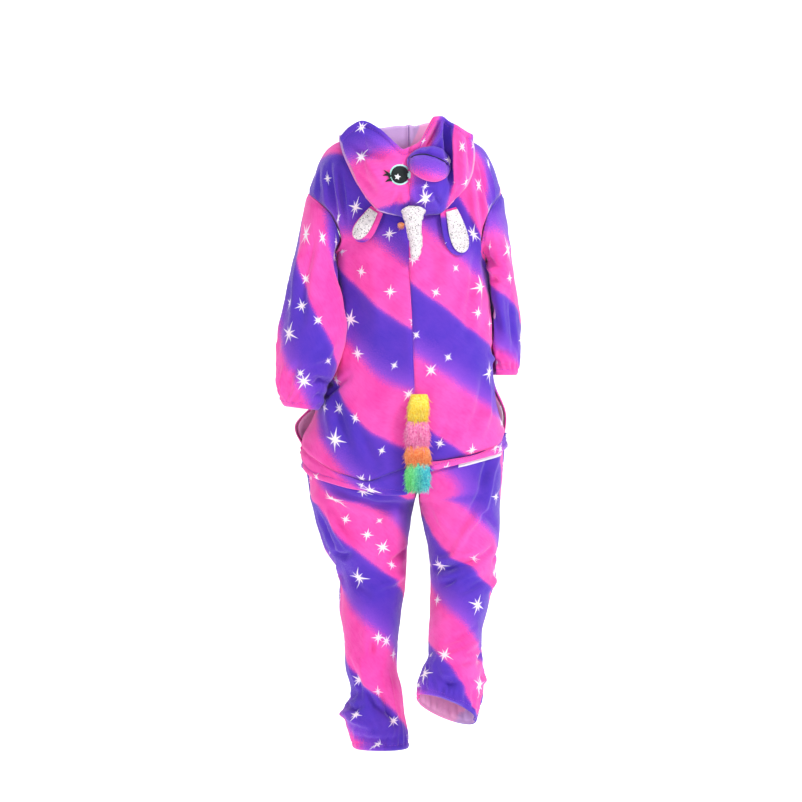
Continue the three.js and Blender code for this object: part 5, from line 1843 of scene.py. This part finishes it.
def button_mesh(name, centre, lean):
    """A turned button with four holes, drilled through and sewn across."""
    rings = []
    turn = full_turn(36)
    for share, height in BUTTON_PROFILE:
        r = BUTTONS["radius"] * share
        rings.append(stack(r * np.cos(turn), -height * BUTTONS["thick"], r * np.sin(turn)))
    rings = np.array(rings)
    top = np.array([0, -0.3 * BUTTONS["thick"], 0])
    low = np.array([0, 0.5 * BUTTONS["thick"], 0])
    disc = closed_rings(name, rings, top, low, [BUTTON])
    drill = bmesh.new()
    for a in range(4):
        angle = math.pi / 4 + a * math.pi / 2
        place = Vector((HOLE["out"] * math.cos(angle), 0, HOLE["out"] * math.sin(angle))) * MM
        wide = HOLE["radius"] * MM
        made = bmesh.ops.create_cone(
            drill, cap_ends=True, segments=12, radius1=wide, radius2=wide, depth=HOLE["deep"] * MM
        )
        for vertex in made["verts"]:
            vertex.co = Vector((vertex.co.x, -vertex.co.z, vertex.co.y)) + place
    cutter_mesh = bpy.data.meshes.new("drill")
    drill.to_mesh(cutter_mesh)
    drill.free()
    cutter = bpy.data.objects.new("drill", cutter_mesh)
    bpy.context.scene.collection.objects.link(cutter)
    cut = disc.modifiers.new("holes", "BOOLEAN")
    cut.operation = "DIFFERENCE"
    cut.object = cutter
    seen = disc.evaluated_get(bpy.context.evaluated_depsgraph_get())
    mesh = bpy.data.meshes.new_from_object(seen)
    disc.modifiers.remove(cut)
    disc.data = mesh
    bpy.data.objects.remove(cutter)
    turned = np.array([v.co for v in mesh.vertices])
    c, s = math.cos(lean), math.sin(lean)
    y, z = turned[:, 1] * c - turned[:, 2] * s, turned[:, 1] * s + turned[:, 2] * c
    placed = stack(turned[:, 0], y, z) + np.asarray(centre) * MM
    mesh.vertices.foreach_set("co", placed.ravel())
    mesh.update()
    return disc


middle_line = points[:, PANES["placket"][0] // 2]
for i in range(BUTTONS["count"]):
    z = BUTTONS["first"] - i * BUTTONS["pitch"]
    row = int(np.abs(middle_line[:, 2] - z).argmin())
    _, rise_y, rise_z = middle_line[min(row + 3, len(middle_line) - 1)] - middle_line[max(row - 3, 0)]
    slope = rise_y / rise_z
    y = middle_line[row, 1] - BUTTONS["stand"] - abs(slope) * 6
    centre = (float(centre_x(z)), y, z)
    button = button_mesh(f"button_{i + 1}_turned", centre, math.atan(slope))
    ride_as(button, "button", f"button_{i + 1}")
    for k, (dx, dz) in enumerate(((1, 1), (1, -1))):
        reach = HOLE["out"] * 0.75
        bar = [
            (centre[0] - dx * reach, y - 0.6, z - dz * reach),
            (centre[0], y - 1.7, z),
            (centre[0] + dx * reach, y - 0.6, z + dz * reach),
        ]
        thread = tube(f"button_{i + 1}_thread_{k + 1}", smooth_path(bar, 7), 0.5, WHITE_THREAD, 6)
        ride_as(thread, "tape")


# ---- stitches ----
STITCH = {"Pitch": 0.0062, "Length": 0.0021, "Thickness": 0.00055}


def stitch_recipe():
    """Small raised stitches set evenly along a line of edges."""
    row = Recipe("row of stitches", "Line", STITCH)
    curve = row.node("GeometryNodeMeshToCurve", {}, {"Mesh": row.given["Line"]})["Curve"]
    even = {"Curve": curve, "Length": row.given["Pitch"]}
    even = row.node("GeometryNodeResampleCurve", {"mode": "LENGTH"}, even)["Curve"]
    grain = row.node("GeometryNodeMeshIcoSphere", {}, {"Radius": 1.0, "Subdivisions": 1})["Mesh"]
    thick, long = row.given["Thickness"], row.given["Length"]
    size = row.node("ShaderNodeCombineXYZ", {}, {"X": thick, "Y": thick, "Z": long})["Vector"]
    tangent = row.node("GeometryNodeInputTangent", {}, {})["Tangent"]
    planted = {"Points": even, "Instance": grain, "Rotation": row.aimed(tangent), "Scale": size}
    return row.end(row.node("GeometryNodeInstanceOnPoints", {}, planted)["Instances"])


STITCHES = stitch_recipe()


def stitched(name, path):
    mesh = bpy.data.meshes.new(name)
    edges = [(i, i + 1) for i in range(len(path) - 1)]
    mesh.from_pydata((np.asarray(path) * MM).tolist(), edges, [])
    row = bpy.data.objects.new(name, mesh)
    bpy.context.scene.collection.objects.link(row)
    return ride_as(STITCHES.made_plain(row, SEAM_THREAD, STITCH), "plush")


def row_inside(name, edge, distance, stand=0.5):
    """A line on a panel at a distance in from one of its edges."""
    points, outward, around = outer[name]
    normals = outward_normals(points, outward, around)
    lifted = points + normals * stand
    axis = 0 if edge[0] == "v" else 1
    far = arcs(points, axis)
    if edge[1] == "1":
        far = np.take(far, [-1], axis=axis) - far
    chosen = np.abs(far - distance).argmin(axis=axis)
    if axis == 0:
        return lifted[chosen, np.arange(points.shape[1])]
    return lifted[np.arange(points.shape[0]), chosen]


HEM_STITCHES = {
    "cuff_left": ("sleeve_left", "v1"),
    "cuff_right": ("sleeve_right", "v1"),
    "hem_front_left": ("front_left", "v0"),
    "hem_front_right": ("front_right", "v0"),
    "hem_seat_left": ("seat_left", "v0"),
    "hem_seat_right": ("seat_right", "v0"),
    "band_left": ("band_left", "v0"),
    "band_right": ("band_right", "v0"),
    "hood_rim_left": ("hood_left", "v0"),
    "hood_rim_right": ("hood_right", "v0"),
    "collar_left": ("collar_left", "v1"),
    "collar_right": ("collar_right", "v1"),
}
for name, (panel, edge) in HEM_STITCHES.items():
    stitched(f"stitches_{name}", row_inside(panel, edge, HEM_WIDE))
outer["placket"] = placket_front
for edge in ("u0", "u1"):
    stitched(f"stitches_placket_{edge}", row_inside("placket", edge, 3.5))


# ---- stage: a pale floor that sweeps up into a backdrop, well behind any view ----
FLOOR_Z = -1.395
SWEEP = {"behind": -7.5, "round": 1.6, "half": 14.0, "near": 9.0, "tall": 9.0, "steps": 12}
paper = Finish("studio paper", {"Roughness": 0.9, "Specular IOR Level": 0.1})
grain = paper.noise(paper.object_place(), 3.0)
paper.give("Base Color", paper.blend(grain, linear(244, 244, 244), linear(250, 250, 250)))
paper.shader.inputs["Emission Color"].default_value = (1, 1, 1, 1)
paper.shader.inputs["Emission Strength"].default_value = 0.56
profile = [(SWEEP["near"], FLOOR_Z)]
for lift in np.linspace(0, math.pi / 2, SWEEP["steps"] + 1):
    y = SWEEP["behind"] - SWEEP["round"] * math.sin(lift)
    profile.append((y, FLOOR_Z + SWEEP["round"] * (1 - math.cos(lift))))
profile.append((profile[-1][0], FLOOR_Z + SWEEP["tall"]))
corners = [(side * SWEEP["half"], y, z) for y, z in profile for side in (-1, 1)]
sweep_mesh = bpy.data.meshes.new("backdrop")
strips = [(2 * i, 2 * i + 1, 2 * i + 3, 2 * i + 2) for i in range(len(profile) - 1)]
sweep_mesh.from_pydata(corners, [], strips)
sweep_mesh.materials.append(paper.material)
sweep_mesh.polygons.foreach_set("use_smooth", [True] * len(sweep_mesh.polygons))
backdrop = bpy.data.objects.new("backdrop", sweep_mesh)
bpy.context.scene.collection.objects.link(backdrop)
